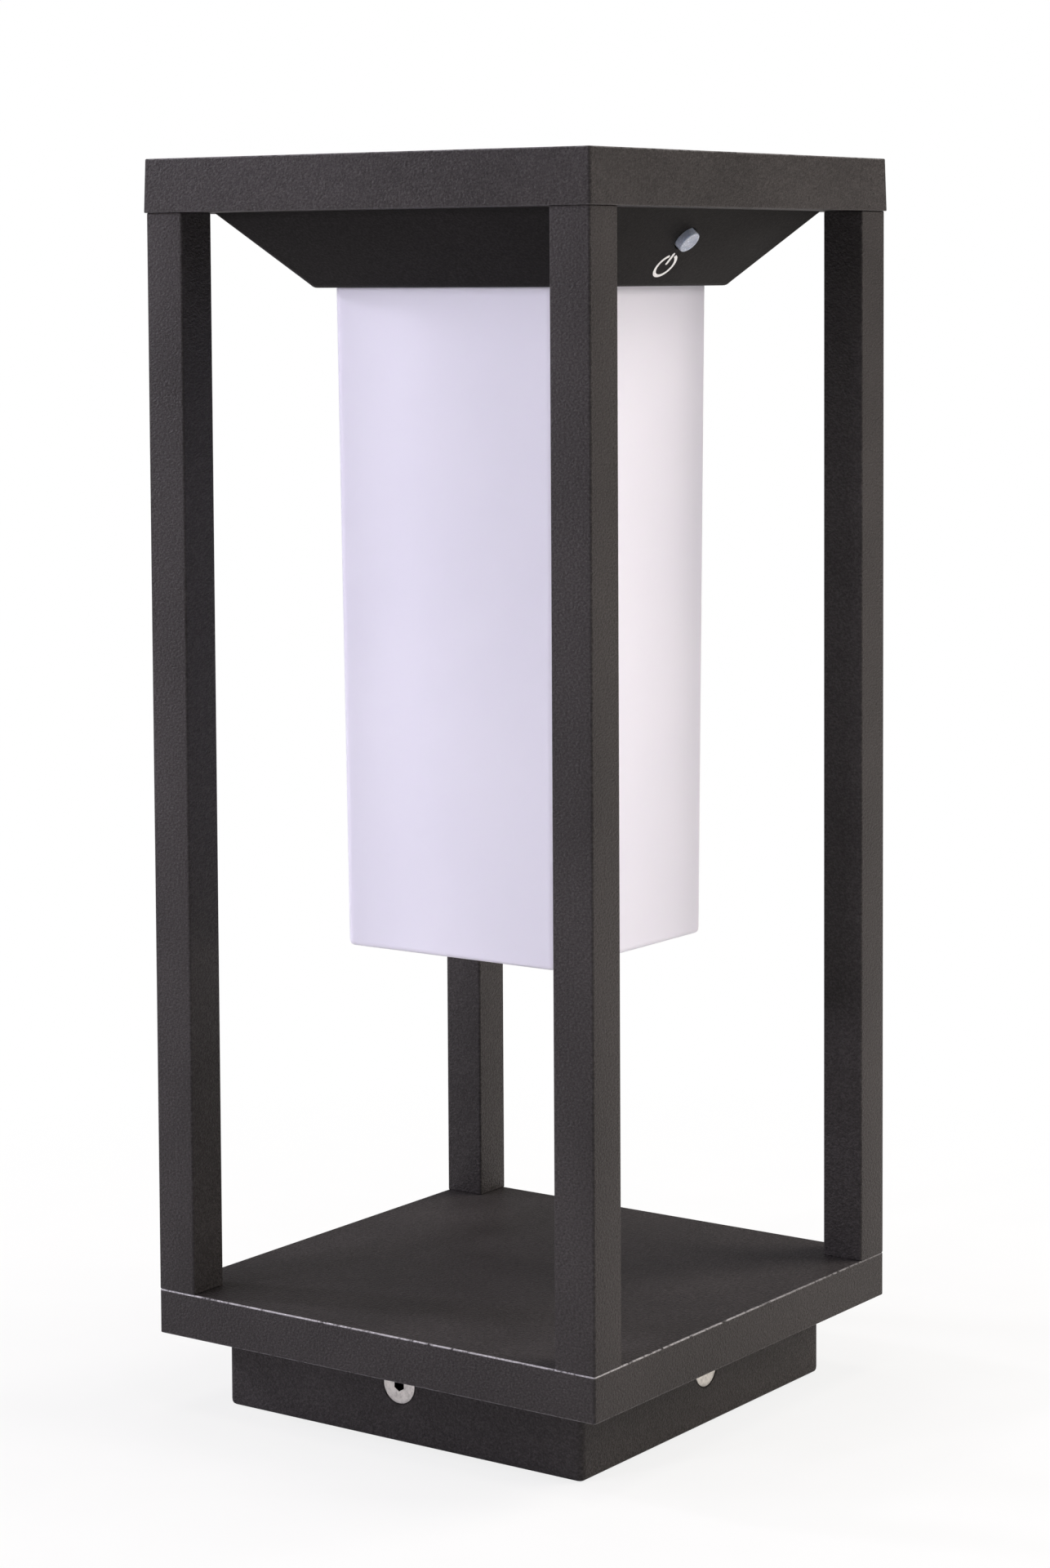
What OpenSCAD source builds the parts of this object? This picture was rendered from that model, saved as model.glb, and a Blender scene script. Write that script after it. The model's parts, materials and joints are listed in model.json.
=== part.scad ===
// Solar garden lantern: an open square frame of four tube posts between a tray and a solar cap.
// A hopper-shaped battery housing hangs under the cap and carries a long opal diffuser.
// Millimetres, +Z up. The origin is the centre of the underside, and the power button faces -Y.

/* [Frame] */
// Width and depth over the posts and the tray
body_w = 140; // [140:1:150]
// Side of the square post tubes
post_w = 12; // [12:0.5:14]
// Wall of the post tubes
post_wall = 1.2; // [1:0.1:1.6]
// Free length of the posts between tray and cap
post_len = 284.4; // [240:0.2:400]
// Height of the tray
tray_h = 11.8; // [11.8:0.1:14]

/* [Plinth] */
// Width of the plinth under the tray
plinth_w = 114.4; // [114.4:0.1:116]
// Height of the plinth
plinth_h = 20.5; // [20.5:0.5:24]
// Distance between neighbouring ground anchor holes
anchor_pitch = 70; // [50:1:76]
// Diameter of the ground anchor holes
anchor_d = 6.6; // [5:0.1:8]
// Height of the side screws above the ground
side_screw_z = 15.2; // [15.2:0.1:15.4]

/* [Cap] */
// Height of the cap
cap_h = 14; // [14:0.5:18]
// Width of the cap along its lower edge
cap_w = 141.2; // [141:0.1:142]
// Width of the cap along its upper edge
cap_top_w = 140.5; // [140:0.1:141]

/* [Lamp] */
// Height of the hopper-shaped battery housing
hopper_h = 19.7; // [19.7:0.1:20]
// Width of the housing where it meets the cap
hopper_top_w = 116; // [116:0.2:117]
// Width of the housing along its lower edge
hopper_low_w = 79.6; // [79.6:0.2:80]
// Width of the diffuser where it leaves the housing
diffuser_w = 71.5; // [71:0.1:71.6]
// Width of the diffuser at its closed end
diffuser_low_w = 68.7; // [60:0.1:71]
// Visible length of the diffuser
diffuser_len = 174.3; // [80:0.1:200]

/* [Controls] */
// Diameter of the push button
button_d = 6.3; // [5:0.1:7]
// Height of the button over the housing's face
button_out = 1.8; // [1.5:0.1:2.5]
// Travel of the button
button_travel = 0.8; // [0.4:0.1:0.8]
// Place of the button up the sloping face
button_s = 16.6; // [16:0.1:17]
// Place of the power symbol up the sloping face
symbol_s = 7.2; // [6:0.1:8]
// Outer diameter of the power symbol
symbol_d = 8; // [6:0.1:8]
// Sideways place of the button and the symbol
control_x = 1; // [-2:0.5:2]

/* [Hidden] */
$fn = 48;
hull_fn = 32;
slab = 0.01;

// Colours
coat = [0.20, 0.19, 0.19];
housing_black = [0.11, 0.11, 0.11];
opal = [0.88, 0.88, 0.95];
steel = [0.78, 0.79, 0.80];
zinc = [0.62, 0.64, 0.66];
silicone = [0.32, 0.33, 0.35];
clear_silicone = [0.62, 0.66, 0.72];
board_green = [0.10, 0.36, 0.20];
board_white = [0.92, 0.93, 0.93];
cell_blue = [0.06, 0.08, 0.20];

// Levels, from the ground up
tray_z = plinth_h;
post_z = tray_z + tray_h;
cap_z = post_z + post_len;
hopper_z = cap_z - hopper_h;
total_h = cap_z + cap_h;

// Plinth and its fixing frame
plinth_wall = 3;
plinth_floor = 3;
plinth_r = 2;
plinth_edge = 1.5;
frame_play = 0.3;
frame_sheet = 2;
tab_sheet = 2.5;
tab_w = 30;
tab_low_z = 8.5;
frame_open_w = 72;
nut_r = 3.2;
nut_len = 3.5;
frame_w = plinth_w - 2 * (plinth_wall + frame_play);
frame_screw_at = 46;

// Tray
tray_wall = 2.2;
tray_top = 3;
tray_r = 0.5;
bottom_sheet = 2;
sheet_play = 0.2;
edge_screw_at = 61;
tray_inner_w = body_w - 2 * tray_wall;
under_top_z = post_z - tray_top;
bottom_plate_top = tray_z + bottom_sheet;

// Posts
post_at = body_w / 2 - post_w / 2;
post_r = 0.6;
plug_w = post_w - 2 * post_wall;
plug_len = 18;
plug_bore = 15;

// Cap and solar panel
cap_floor = 2.5;
cap_wall = 2.6;
cap_r = 0.8;
cap_open_w = 100;
cap_open_cut = 11.7;
cap_pocket_w = cap_w - 2 * cap_wall;
cap_floor_z = cap_z + cap_floor;
rim_drop = 0.3;
glass_t = 1.8;
cell_t = 0.3;
backing_t = 1.6;
gasket_t = 1;
panel_play = 0.3;
panel_w = cap_pocket_w - 2 * panel_play;
glass_z = total_h - rim_drop - glass_t;
cell_z = glass_z - cell_t;
backing_z = cell_z - backing_t;
seat_z = backing_z - gasket_t;
seat_at = 61;
seat_t = 2.5;
seat_len = 100;
cells_across = 2;
cells_along = 6;
cell_gap = 1.2;
cell_field = 122;

// Housing
hopper_wall = 2.2;
hopper_floor = 2.2;
hopper_r = 1.2;
hopper_run = (hopper_top_w - hopper_low_w) / 2;
face_len = norm([hopper_run, hopper_h]);
face_tilt = 180 - atan2(hopper_h, hopper_run);
wall_across = hopper_wall * face_len / hopper_h;
housing_screw_at = 47;
housing_boss_r = 3.5;
housing_boss_len = 8.5;
seal_w = 1.2;
seal_t = 0.7;
floor_top_z = hopper_z + hopper_floor;

// Diffuser and the stack that clamps it
diffuser_wall = 2;
diffuser_r = 3;
flange_w = 76;
flange_t = 1.5;
neck_play = 0.3;
clamp_t = 2.3;
clamp_w = 75;
clamp_open_w = 66;
gasket_z = floor_top_z + flange_t;
clamp_z = gasket_z + gasket_t;
plate_z = clamp_z + clamp_t;
plate_t = 2;
plate_top = plate_z + plate_t;
plate_w = 86;
plate_screw_at = 40;
plate_boss_r = 3;
pad_t = 0.4;
led_board_t = 1.6;
led_board_w = 60;
led_board_z = plate_z - pad_t - led_board_t;
led_w = 3;
led_t = 0.8;
led_rows = 4;
led_pitch = 12;
window = [10, 6];
window_at = [22, -4.5];

// Battery
cell_r = 9.2;
cell_len = 65.2;
cell_ys = [10.4, 29.6];
holder = [73, 40];
holder_y = 20;
holder_t = 1.5;
holder_end_h = 14;
contact_t = 0.6;
contact_w = 9;
tab_contact_w = 4;
tab_contact_len = 6;
contact_out = holder[0] / 2 + contact_t;
contact_tab_z = plate_top + 10;
cell_clear = 0.3;
cell_centre_z = plate_top + holder_t + cell_clear + cell_r;
holder_screw_at = 28;

// Controller board
board = [76, 29];
board_y = -23.5;
board_t = 1.6;
spacer_h = 3;
spacer_r = 2.5;
board_z = plate_top + spacer_h;
board_top = board_z + board_t;
board_hole_at = [34.5, 11];
plug_block = [6, 5, 5];
solar_plug = [-28, -13];
battery_plug = [-16, -13];
led_plug = [22, -13];
switch_plug = [12, -33];

// Button and switch, as depths behind the housing's face
button_play = 0.3;
button_r = button_d / 2;
flange_r = 4.4;
button_flange_t = 0.8;
flange_depth = hopper_wall + button_play;
plunger_r = 1.5;
stem_depth = 4.6;
stem_r = 1.6;
stem_len = 2.4;
switch_depth = 6;
switch_body_t = 3.5;
switch_body_w = 6.2;
switch_well = 2.3;
switch_board_depth = switch_depth + switch_body_t;
switch_board = [22, 11];
switch_board_t = 1.6;
switch_screw_at = 8;
symbol_t = 0.1;
symbol_line = 0.85;
symbol_gap = 3.4;
symbol_bar = 3.7;

// Screws: shank radius, head radius, head height, hexagon across its corners
m5 = [2.45, 5, 2.6, 3.4];
m4 = [1.95, 3.6, 2.6, 2.9];
m3 = [1.45, 2.75, 1.9, 2.3];
m2 = [1.15, 2.1, 1.4, 1.7];
thread_play = 0.05;
hole_play = 0.3;

// Wires: radius and hand-chosen route points
wire_r = 0.6;
wire_sides = 8;
wire_steps = 4;
wire_gap = 1.3;
lead_top = board_top + 5;
solar_route = [
    [0, 0, 0], [0, 0, 1], [0, 0, 2], [3, -3, 5], [8, -8, 6.5], [10, -10, 8.5], [10, -10, 10],
    [10, -10, backing_z - lead_top]
];
battery_near_route = [
    [0, 0, 0], [0, 0, 1], [0, 0, 2], [-8, 4, 4], [-21, 8, 3], [-28, 16, 1.5], [-28, 22, 0.4],
    [-25, 23.4, 0.4], [-23.5, 23.4, 0.4], [-22.4, 23.4, 0.4]
];
battery_far_route = [
    [0, 0, 0], [0, 0, 1], [0, 0, 2], [-10, 1, 3.5], [-25, 7, 3], [-30, 19, 1.5], [-29, 38, 0.4],
    [-24, 42.6, 0.4], [-21.5, 42.6, 0.4], [-19.8, 42.6, 0.4]
];
led_route = [
    [0, 0, 0], [0, 0, 1], [0, 0, 2], [0, 3, 4.5], [0, 7, 3.5], [0, 8.5, 0], [0, 8.5, -3], [0, 8.5, -6]
];
switch_route = [[0, 0, 0], [0, 0, 1], [0, 0, 2], [-2, -1, 3.5], [-4, -4, 4], [-5, -7, 3.5]];

// ---- Helpers ----

// A square with true round corners
module rounded_square(w, r) {
    square([w - 2 * r, w], center = true);
    square([w, w - 2 * r], center = true);
    for (x = [-1, 1], y = [-1, 1])
        translate([x * (w / 2 - r), y * (w / 2 - r)]) circle(r);
}

module rounded_block(w, h, r) {
    linear_extrude(h) rounded_square(w, r);
}

// A closed square ring
module square_ring(outer_w, inner_w, h, r) {
    linear_extrude(h) difference() {
        rounded_square(outer_w, r);
        rounded_square(inner_w, max(r - (outer_w - inner_w) / 2, 0.3));
    }
}

// A block whose width changes with height
module tapered_block(low_w, top_w, h, r) {
    hull() {
        linear_extrude(slab) rounded_square(low_w, r, $fn = hull_fn);
        translate([0, 0, h - slab]) linear_extrude(slab) rounded_square(top_w, r, $fn = hull_fn);
    }
}

module at_corners(d) {
    for (x = [-1, 1], y = [-1, 1]) translate([x * d, y * d, 0]) children();
}

module on_sides() {
    for (a = [0:90:270]) rotate([0, 0, a]) children();
}

// Flat-topped socket screw: head on z = 0 upwards, shank below it
module pan_screw(size, len) {
    difference() {
        union() {
            cylinder(r = size[1], h = size[2]);
            translate([0, 0, -len]) cylinder(r = size[0], h = len + slab);
        }
        translate([0, 0, size[2] * 0.45]) cylinder(d = size[3], h = size[2], $fn = 6);
    }
}

// Countersunk socket screw: its flat face on z = 0, everything else below it
module countersunk_screw(size, len) {
    difference() {
        rotate_extrude() polygon([
            [0, 0], [size[1], 0], [size[0], -size[2]], [size[0], -len], [0, -len]
        ]);
        translate([0, 0, -size[2] * 0.75]) rotate([0, 0, 30]) cylinder(d = size[3], h = size[2], $fn = 6);
    }
}

// The hole that a countersunk screw sinks into
module countersunk_hole(size, len) {
    rotate_extrude() polygon([
        [0, 1], [size[1] + hole_play + 1, 1], [size[1] + hole_play - 0.15, -0.15],
        [size[0] + hole_play, -size[2]], [size[0] + hole_play, -len], [0, -len]
    ]);
}

// Local frame of the housing's -Y face: x sideways, y up the slope, z outwards
module on_face(x, s) {
    translate([0, -hopper_low_w / 2, hopper_z]) rotate([face_tilt, 0, 0]) translate([x, s, 0]) children();
}

module depth_cylinder(r, depth, h) {
    translate([0, 0, -depth - h]) cylinder(r = r, h = h);
}

function unit(v) = v / norm(v);
function blend(p, q, r, s, t) = 0.5 * (2 * q + (r - p) * t + (2 * p - 5 * q + 4 * r - s) * t * t
    + (3 * q - p - 3 * r + s) * t * t * t);
function pick(path, i) = path[min(max(i, 0), len(path) - 1)];
function smooth_path(path) = concat(
    [for (i = [0:len(path) - 2], k = [0:wire_steps - 1])
        blend(pick(path, i - 1), path[i], path[i + 1], pick(path, i + 2), k / wire_steps)],
    [path[len(path) - 1]]
);
function ring_points(path, i, side) = let (
        along = unit(pick(path, i + 1) - pick(path, i - 1)),
        u = unit(cross(along, side)),
        v = cross(along, u)
    ) [for (k = [0:wire_sides - 1])
        path[i] + wire_r * (cos(360 * k / wire_sides) * u + sin(360 * k / wire_sides) * v)];

// A round wire along a list of points; side is a direction that the wire never runs in
module wire(route, side) {
    path = smooth_path(route);
    rings = len(path);
    polyhedron(
        points = [for (i = [0:rings - 1]) each ring_points(path, i, side)],
        faces = concat(
            [[for (k = [0:wire_sides - 1]) k]],
            [for (i = [0:rings - 2], k = [0:wire_sides - 1])
                let (a = i * wire_sides, b = a + wire_sides, next = (k + 1) % wire_sides)
                each [[a + k, b + k, b + next], [a + k, b + next, a + next]]],
            [[for (k = [wire_sides - 1:-1:0]) (rings - 1) * wire_sides + k]]
        ),
        convexity = 6
    );
}

// ---- Plinth ----

module mounting_plinth() color(coat) difference() {
    union() {
        tapered_block(plinth_w - 2 * plinth_edge, plinth_w, plinth_edge, plinth_r);
        translate([0, 0, plinth_edge]) rounded_block(plinth_w, plinth_h - plinth_edge, plinth_r);
    }
    translate([0, 0, plinth_floor])
        rounded_block(plinth_w - 2 * plinth_wall, plinth_h, plinth_r);
    at_corners(anchor_pitch / 2) translate([0, 0, -1]) cylinder(d = anchor_d, h = plinth_floor + 2);
    on_sides() translate([0, -plinth_w / 2, side_screw_z]) rotate([90, 0, 0])
        countersunk_hole(m5, plinth_wall + 1);
}

module plinth_side_screws() color(steel)
    on_sides() translate([0, -plinth_w / 2, side_screw_z]) rotate([90, 0, 0]) countersunk_screw(m5, 12);

module fixing_frame() color(zinc) difference() {
    union() {
        translate([0, 0, tray_z - frame_sheet]) square_ring(frame_w, frame_open_w, frame_sheet, 6);
        on_sides() translate([-tab_w / 2, -frame_w / 2, tab_low_z])
            cube([tab_w, tab_sheet, tray_z - frame_sheet / 2 - tab_low_z]);
    }
    at_corners(frame_screw_at) translate([0, 0, tray_z - frame_sheet - 1])
        cylinder(r = m4[0] + hole_play, h = frame_sheet + 2);
    on_sides() translate([0, -frame_w / 2 - 1, side_screw_z]) rotate([-90, 0, 0])
        cylinder(r = m5[0] + hole_play, h = tab_sheet + 2);
}

module clinch_nuts() color(zinc)
    on_sides() translate([0, -frame_w / 2 + tab_sheet, side_screw_z]) rotate([-90, 0, 0]) difference() {
        cylinder(r = nut_r, h = nut_len);
        translate([0, 0, -1]) cylinder(r = m5[0] + thread_play, h = nut_len + 2);
    }

module fixing_frame_screws() color(zinc)
    at_corners(frame_screw_at) translate([0, 0, tray_z - frame_sheet]) mirror([0, 0, 1]) pan_screw(m4, 9);

// ---- Tray ----

module base_tray() color(coat) difference() {
    union() {
        translate([0, 0, tray_z]) difference() {
            rounded_block(body_w, tray_h, tray_r);
            translate([0, 0, -1]) rounded_block(tray_inner_w, tray_h - tray_top + 1, 0.4);
        }
        at_corners(frame_screw_at) translate([0, 0, bottom_plate_top])
            cylinder(r = 4.5, h = under_top_z - bottom_plate_top + 1);
        on_sides() translate([0, -edge_screw_at, bottom_plate_top])
            cylinder(r = 4, h = under_top_z - bottom_plate_top + 1);
    }
    at_corners(post_at) translate([0, 0, under_top_z - 1])
        cylinder(r = m4[0] + hole_play, h = tray_top + 2);
    at_corners(frame_screw_at) translate([0, 0, bottom_plate_top - 1])
        cylinder(r = m4[0] + thread_play, h = 7.5);
    on_sides() translate([0, -edge_screw_at, bottom_plate_top - 1])
        cylinder(r = m3[0] + thread_play, h = 7.5);
}

module tray_bottom_plate() color(coat) difference() {
    translate([0, 0, tray_z]) rounded_block(tray_inner_w - 2 * sheet_play, bottom_sheet, 0.4);
    at_corners(frame_screw_at) translate([0, 0, tray_z - 1])
        cylinder(r = m4[0] + hole_play, h = bottom_sheet + 2);
    on_sides() translate([0, -edge_screw_at, tray_z]) mirror([0, 0, 1])
        countersunk_hole(m3, bottom_sheet + 1);
}

module bottom_plate_screws() color(steel)
    on_sides() translate([0, -edge_screw_at, tray_z]) mirror([0, 0, 1]) countersunk_screw(m3, 8);

// ---- Posts ----

module post(x, y) color(coat)
    translate([x * post_at, y * post_at, post_z]) square_ring(post_w, plug_w, post_len, post_r);

module post_front_left() post(-1, -1);
module post_front_right() post(1, -1);
module post_back_left() post(-1, 1);
module post_back_right() post(1, 1);

// Plug with its threaded bore opening downwards on z = 0
module post_plug() color(zinc) difference() {
    rounded_block(plug_w, plug_len, 0.3);
    translate([0, 0, -1]) cylinder(r = m4[0] + thread_play, h = plug_bore + 1);
}

module post_foot_plugs() at_corners(post_at) translate([0, 0, post_z]) post_plug();
module post_head_plugs() at_corners(post_at) translate([0, 0, cap_z]) mirror([0, 0, 1]) post_plug();

module post_foot_screws() color(zinc)
    at_corners(post_at) translate([0, 0, under_top_z]) mirror([0, 0, 1]) pan_screw(m4, 14);

module post_head_screws() color(zinc)
    at_corners(post_at) translate([0, 0, cap_floor_z]) pan_screw(m4, 14);

// ---- Cap and solar panel ----

// Square opening with cut corners, which leaves room for the housing screws
module cap_opening(h) {
    half = cap_open_w / 2;
    near = half - cap_open_cut;
    linear_extrude(h) polygon([
        [half, -near], [half, near], [near, half], [-near, half],
        [-half, near], [-half, -near], [-near, -half], [near, -half]
    ]);
}

module cap_frame() color(coat) difference() {
    union() {
        translate([0, 0, cap_z]) difference() {
            tapered_block(cap_w, cap_top_w, cap_h, cap_r);
            translate([0, 0, cap_floor]) rounded_block(cap_pocket_w, cap_h, 0.5);
        }
        on_sides() translate([-seat_len / 2, -seat_at - seat_t, cap_z + cap_floor / 2])
            cube([seat_len, seat_t, seat_z - cap_z - cap_floor / 2]);
        on_sides() for (x = [-1, 1])
            translate([x * (seat_len / 2 - seat_t / 2) - seat_t / 2, -cap_w / 2 + 1, cap_z + cap_floor / 2])
                cube([seat_t, cap_w / 2 - seat_at - 1, seat_z - cap_z - cap_floor / 2]);
    }
    translate([0, 0, cap_z - 1]) cap_opening(cap_floor + 2);
    at_corners(post_at) translate([0, 0, cap_z - 1]) cylinder(r = m4[0] + hole_play, h = cap_floor + 2);
    at_corners(housing_screw_at) translate([0, 0, cap_z - 1])
        cylinder(r = m3[0] + hole_play, h = cap_floor + 2);
}

module panel_gasket() color(silicone)
    translate([0, 0, seat_z]) square_ring(2 * (seat_at + seat_t) + 1, 2 * seat_at - 1, gasket_t, 1);

module panel_backing() color(board_white)
    translate([0, 0, backing_z]) rounded_block(panel_w, backing_t, 0.5);

module solar_cells() color(cell_blue) {
    size_x = (cell_field - (cells_across - 1) * cell_gap) / cells_across;
    size_y = (cell_field - (cells_along - 1) * cell_gap) / cells_along;
    for (i = [0:cells_across - 1], j = [0:cells_along - 1])
        translate([-cell_field / 2 + i * (size_x + cell_gap), -cell_field / 2 + j * (size_y + cell_gap), cell_z])
            cube([size_x, size_y, cell_t]);
}

module panel_glass() color([0.35, 0.42, 0.55, 0.5])
    translate([0, 0, glass_z]) rounded_block(panel_w, glass_t, 0.5);

// ---- Battery housing ----

module hopper_space(inset, low, high) {
    // The housing's outer form, drawn in by inset and cut between two levels
    slope = hopper_run / hopper_h;
    translate([0, 0, hopper_z + low]) tapered_block(
        hopper_low_w + 2 * slope * low - 2 * inset, hopper_low_w + 2 * slope * high - 2 * inset,
        high - low, hopper_r
    );
}

module battery_housing() color(housing_black) difference() {
    union() {
        difference() {
            hopper_space(0, 0, hopper_h);
            hopper_space(wall_across, hopper_floor, hopper_h + 1);
        }
        intersection() {
            hopper_space(1, 0, hopper_h);
            union() {
                at_corners(housing_screw_at) translate([0, 0, cap_z - housing_boss_len])
                    cylinder(r = housing_boss_r, h = housing_boss_len);
                at_corners(plate_screw_at) translate([0, 0, floor_top_z - 1])
                    cylinder(r = plate_boss_r, h = plate_z - floor_top_z + 1);
            }
        }
        for (x = [-1, 1]) on_face(control_x + x * switch_screw_at, button_s)
            depth_cylinder(2, hopper_wall / 2, switch_board_depth - hopper_wall / 2);
    }
    translate([0, 0, hopper_z - 1])
        rounded_block(diffuser_w + 2 * neck_play, hopper_floor + 2, diffuser_r + neck_play);
    translate([0, 0, cap_z - seal_t])
        square_ring(hopper_top_w - 2 * (wall_across - seal_w) / 2, hopper_top_w - wall_across - seal_w,
                    seal_t + 1, 2);
    at_corners(housing_screw_at) translate([0, 0, cap_z - housing_boss_len + 1])
        cylinder(r = m3[0] + thread_play, h = housing_boss_len + 1);
    at_corners(plate_screw_at) translate([0, 0, floor_top_z + 0.5])
        cylinder(r = m3[0] + thread_play, h = plate_z - floor_top_z + 1);
    on_face(control_x, button_s) depth_cylinder(button_r + button_play, -1, hopper_wall + 2);
    for (x = [-1, 1]) on_face(control_x + x * switch_screw_at, button_s)
        depth_cylinder(m2[0] + thread_play, hopper_wall + 1, switch_board_depth);
}

module housing_gasket() color(silicone)
    translate([0, 0, cap_z - seal_t])
        square_ring(hopper_top_w - (wall_across - seal_w), hopper_top_w - wall_across - seal_w, seal_t, 2);

module housing_screws() color(zinc)
    at_corners(housing_screw_at) translate([0, 0, cap_floor_z]) pan_screw(m3, 9);

// ---- Diffuser and LED stack ----

module diffuser() color(opal) difference() {
    union() {
        translate([0, 0, hopper_z - diffuser_len])
            tapered_block(diffuser_low_w, diffuser_w, diffuser_len, diffuser_r);
        translate([0, 0, hopper_z - slab]) rounded_block(diffuser_w, hopper_floor + flange_t, diffuser_r);
        translate([0, 0, floor_top_z]) rounded_block(flange_w, flange_t, diffuser_r);
    }
    translate([0, 0, hopper_z - diffuser_len + diffuser_wall]) tapered_block(
        diffuser_low_w - 2 * diffuser_wall, diffuser_w - 2 * diffuser_wall,
        diffuser_len + hopper_floor + flange_t, diffuser_r - 1
    );
}

module diffuser_gasket() color(silicone)
    translate([0, 0, gasket_z]) square_ring(clamp_w, clamp_open_w + 3, gasket_t, 3);

module diffuser_clamp() color(housing_black)
    translate([0, 0, clamp_z]) square_ring(clamp_w, clamp_open_w, clamp_t, 3);

module heatsink_window(h) {
    translate([window_at[0] - window[0] / 2, window_at[1] - window[1] / 2, 0]) cube([window[0], window[1], h]);
}

module heatsink_plate() color(steel) difference() {
    translate([0, 0, plate_z]) rounded_block(plate_w, plate_t, 2);
    at_corners(plate_screw_at) translate([0, 0, plate_z - 1]) cylinder(r = m3[0] + hole_play, h = plate_t + 2);
    at_board_holes() translate([0, 0, plate_z - 1]) cylinder(r = m2[0] + thread_play, h = plate_t + 2);
    at_holder_holes() translate([0, 0, plate_z - 1]) cylinder(r = m2[0] + thread_play, h = plate_t + 2);
    translate([0, 0, plate_z - 1]) heatsink_window(plate_t + 2);
}

module heatsink_screws() color(zinc)
    at_corners(plate_screw_at) translate([0, 0, plate_top]) pan_screw(m3, 6);

module thermal_pad() color([0.75, 0.78, 0.82]) difference() {
    translate([0, 0, plate_z - pad_t]) rounded_block(led_board_w - 2, pad_t, 1);
    translate([0, 0, plate_z - 1]) heatsink_window(2);
}

module led_board() color(board_white)
    translate([0, 0, led_board_z]) rounded_block(led_board_w, led_board_t, 1);

module led_chips() color([1, 0.86, 0.45]) {
    first = -(led_rows - 1) / 2 * led_pitch;
    for (i = [0:led_rows - 1], j = [0:led_rows - 1])
        translate([first + i * led_pitch - led_w / 2, first + j * led_pitch - led_w / 2, led_board_z - led_t])
            cube([led_w, led_w, led_t]);
}

// ---- Battery ----

module at_holder_holes() {
    for (x = [-1, 1]) translate([x * holder_screw_at, holder_y, 0]) children();
}

module battery_holder() color([0.16, 0.16, 0.17]) difference() {
    union() {
        translate([-holder[0] / 2, holder_y - holder[1] / 2, plate_top]) cube([holder[0], holder[1], holder_t]);
        for (x = [-1, 1]) translate([x * (holder[0] / 2 + cell_len / 2 + contact_t) / 2, holder_y, plate_top])
            translate([-(holder[0] - cell_len - 2 * contact_t) / 4, -holder[1] / 2, 0])
                cube([(holder[0] - cell_len - 2 * contact_t) / 2, holder[1], holder_end_h]);
        translate([-20, holder_y - 0.3, plate_top]) cube([40, 0.6, holder_end_h / 2]);
    }
    at_holder_holes() translate([0, 0, plate_top - 1]) cylinder(r = m2[0] + hole_play, h = holder_t + 2);
}

module holder_screws() color(zinc)
    at_holder_holes() translate([0, 0, plate_top + holder_t]) pan_screw(m2, 3.2);

// Spring-steel clips over the holder's end walls, with a link strip that joins the two cells
module battery_contacts() color(steel) {
    wall_top = plate_top + holder_end_h;
    for (x = [-1, 1], y = cell_ys) {
        translate([x * (cell_len + contact_t) / 2, y, wall_top - contact_w / 2])
            cube([contact_t, contact_w, contact_w], center = true);
        translate([x * (cell_len / 2 + contact_out) / 2, y, wall_top + contact_t / 2])
            cube([contact_out - cell_len / 2, tab_contact_w, contact_t], center = true);
        translate([x * (contact_out - contact_t / 2), y, wall_top + contact_t - tab_contact_len / 2])
            cube([contact_t, tab_contact_w, tab_contact_len], center = true);
    }
    translate([contact_out - contact_t, cell_ys[0], contact_tab_z])
        cube([contact_t, cell_ys[1] - cell_ys[0], 3]);
}

module battery_cells() color([0.10, 0.42, 0.62])
    for (y = cell_ys) translate([-cell_len / 2, y, cell_centre_z]) rotate([0, 90, 0])
        cylinder(r = cell_r, h = cell_len);

// ---- Controller ----

module at_board_holes() {
    for (x = [-1, 1], y = [-1, 1])
        translate([x * board_hole_at[0], board_y + y * board_hole_at[1], 0]) children();
}

module controller_board() color(board_green) difference() {
    translate([-board[0] / 2, board_y - board[1] / 2, board_z]) cube([board[0], board[1], board_t]);
    at_board_holes() translate([0, 0, board_z - 1]) cylinder(r = m2[0] + hole_play, h = board_t + 2);
}

module controller_components() translate([0, 0, board_top]) {
    color([0.25, 0.25, 0.27]) translate([-6, -28, 0]) cylinder(r = 4, h = 4.5);
    color([0.10, 0.10, 0.11]) translate([-20, -31, 0]) cylinder(r = 3, h = 8);
    color([0.08, 0.08, 0.08]) translate([2, -24, 0]) cube([7, 6, 1.5]);
    color([0.08, 0.08, 0.08]) translate([20, -30, 0]) cube([5, 5, 1.2]);
    color([0.70, 0.60, 0.45]) translate([-2, -16, 0]) cube([3, 2, 1.4]);
    color([0.70, 0.60, 0.45]) translate([-14, -24, 0]) cube([3, 2, 1.4]);
}

module board_spacers() color(zinc)
    at_board_holes() translate([0, 0, plate_top]) difference() {
        cylinder(r = spacer_r, h = spacer_h);
        translate([0, 0, -1]) cylinder(r = m2[0] + thread_play, h = spacer_h + 2);
    }

module board_screws() color(zinc)
    at_board_holes() translate([0, 0, board_top]) pan_screw(m2, board_t + spacer_h + plate_t * 0.8);

module plug_at(place) {
    translate([place[0] - plug_block[0] / 2, place[1] - plug_block[1] / 2, board_top]) cube(plug_block);
}

module wire_connectors() color([0.94, 0.93, 0.88]) {
    plug_at(solar_plug);
    plug_at(battery_plug);
    plug_at(led_plug);
    plug_at(switch_plug);
    translate([window_at[0] - 3, window_at[1] - 2, led_board_z + led_board_t]) cube([6, 4, 6]);
}

// A pair of wires from a plug, side by side along X
module wire_pair(place, route) {
    for (x = [-1, 1]) translate([place[0] + x * wire_gap, place[1], lead_top]) wire(route, [1, 0.1, 0]);
}

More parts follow.
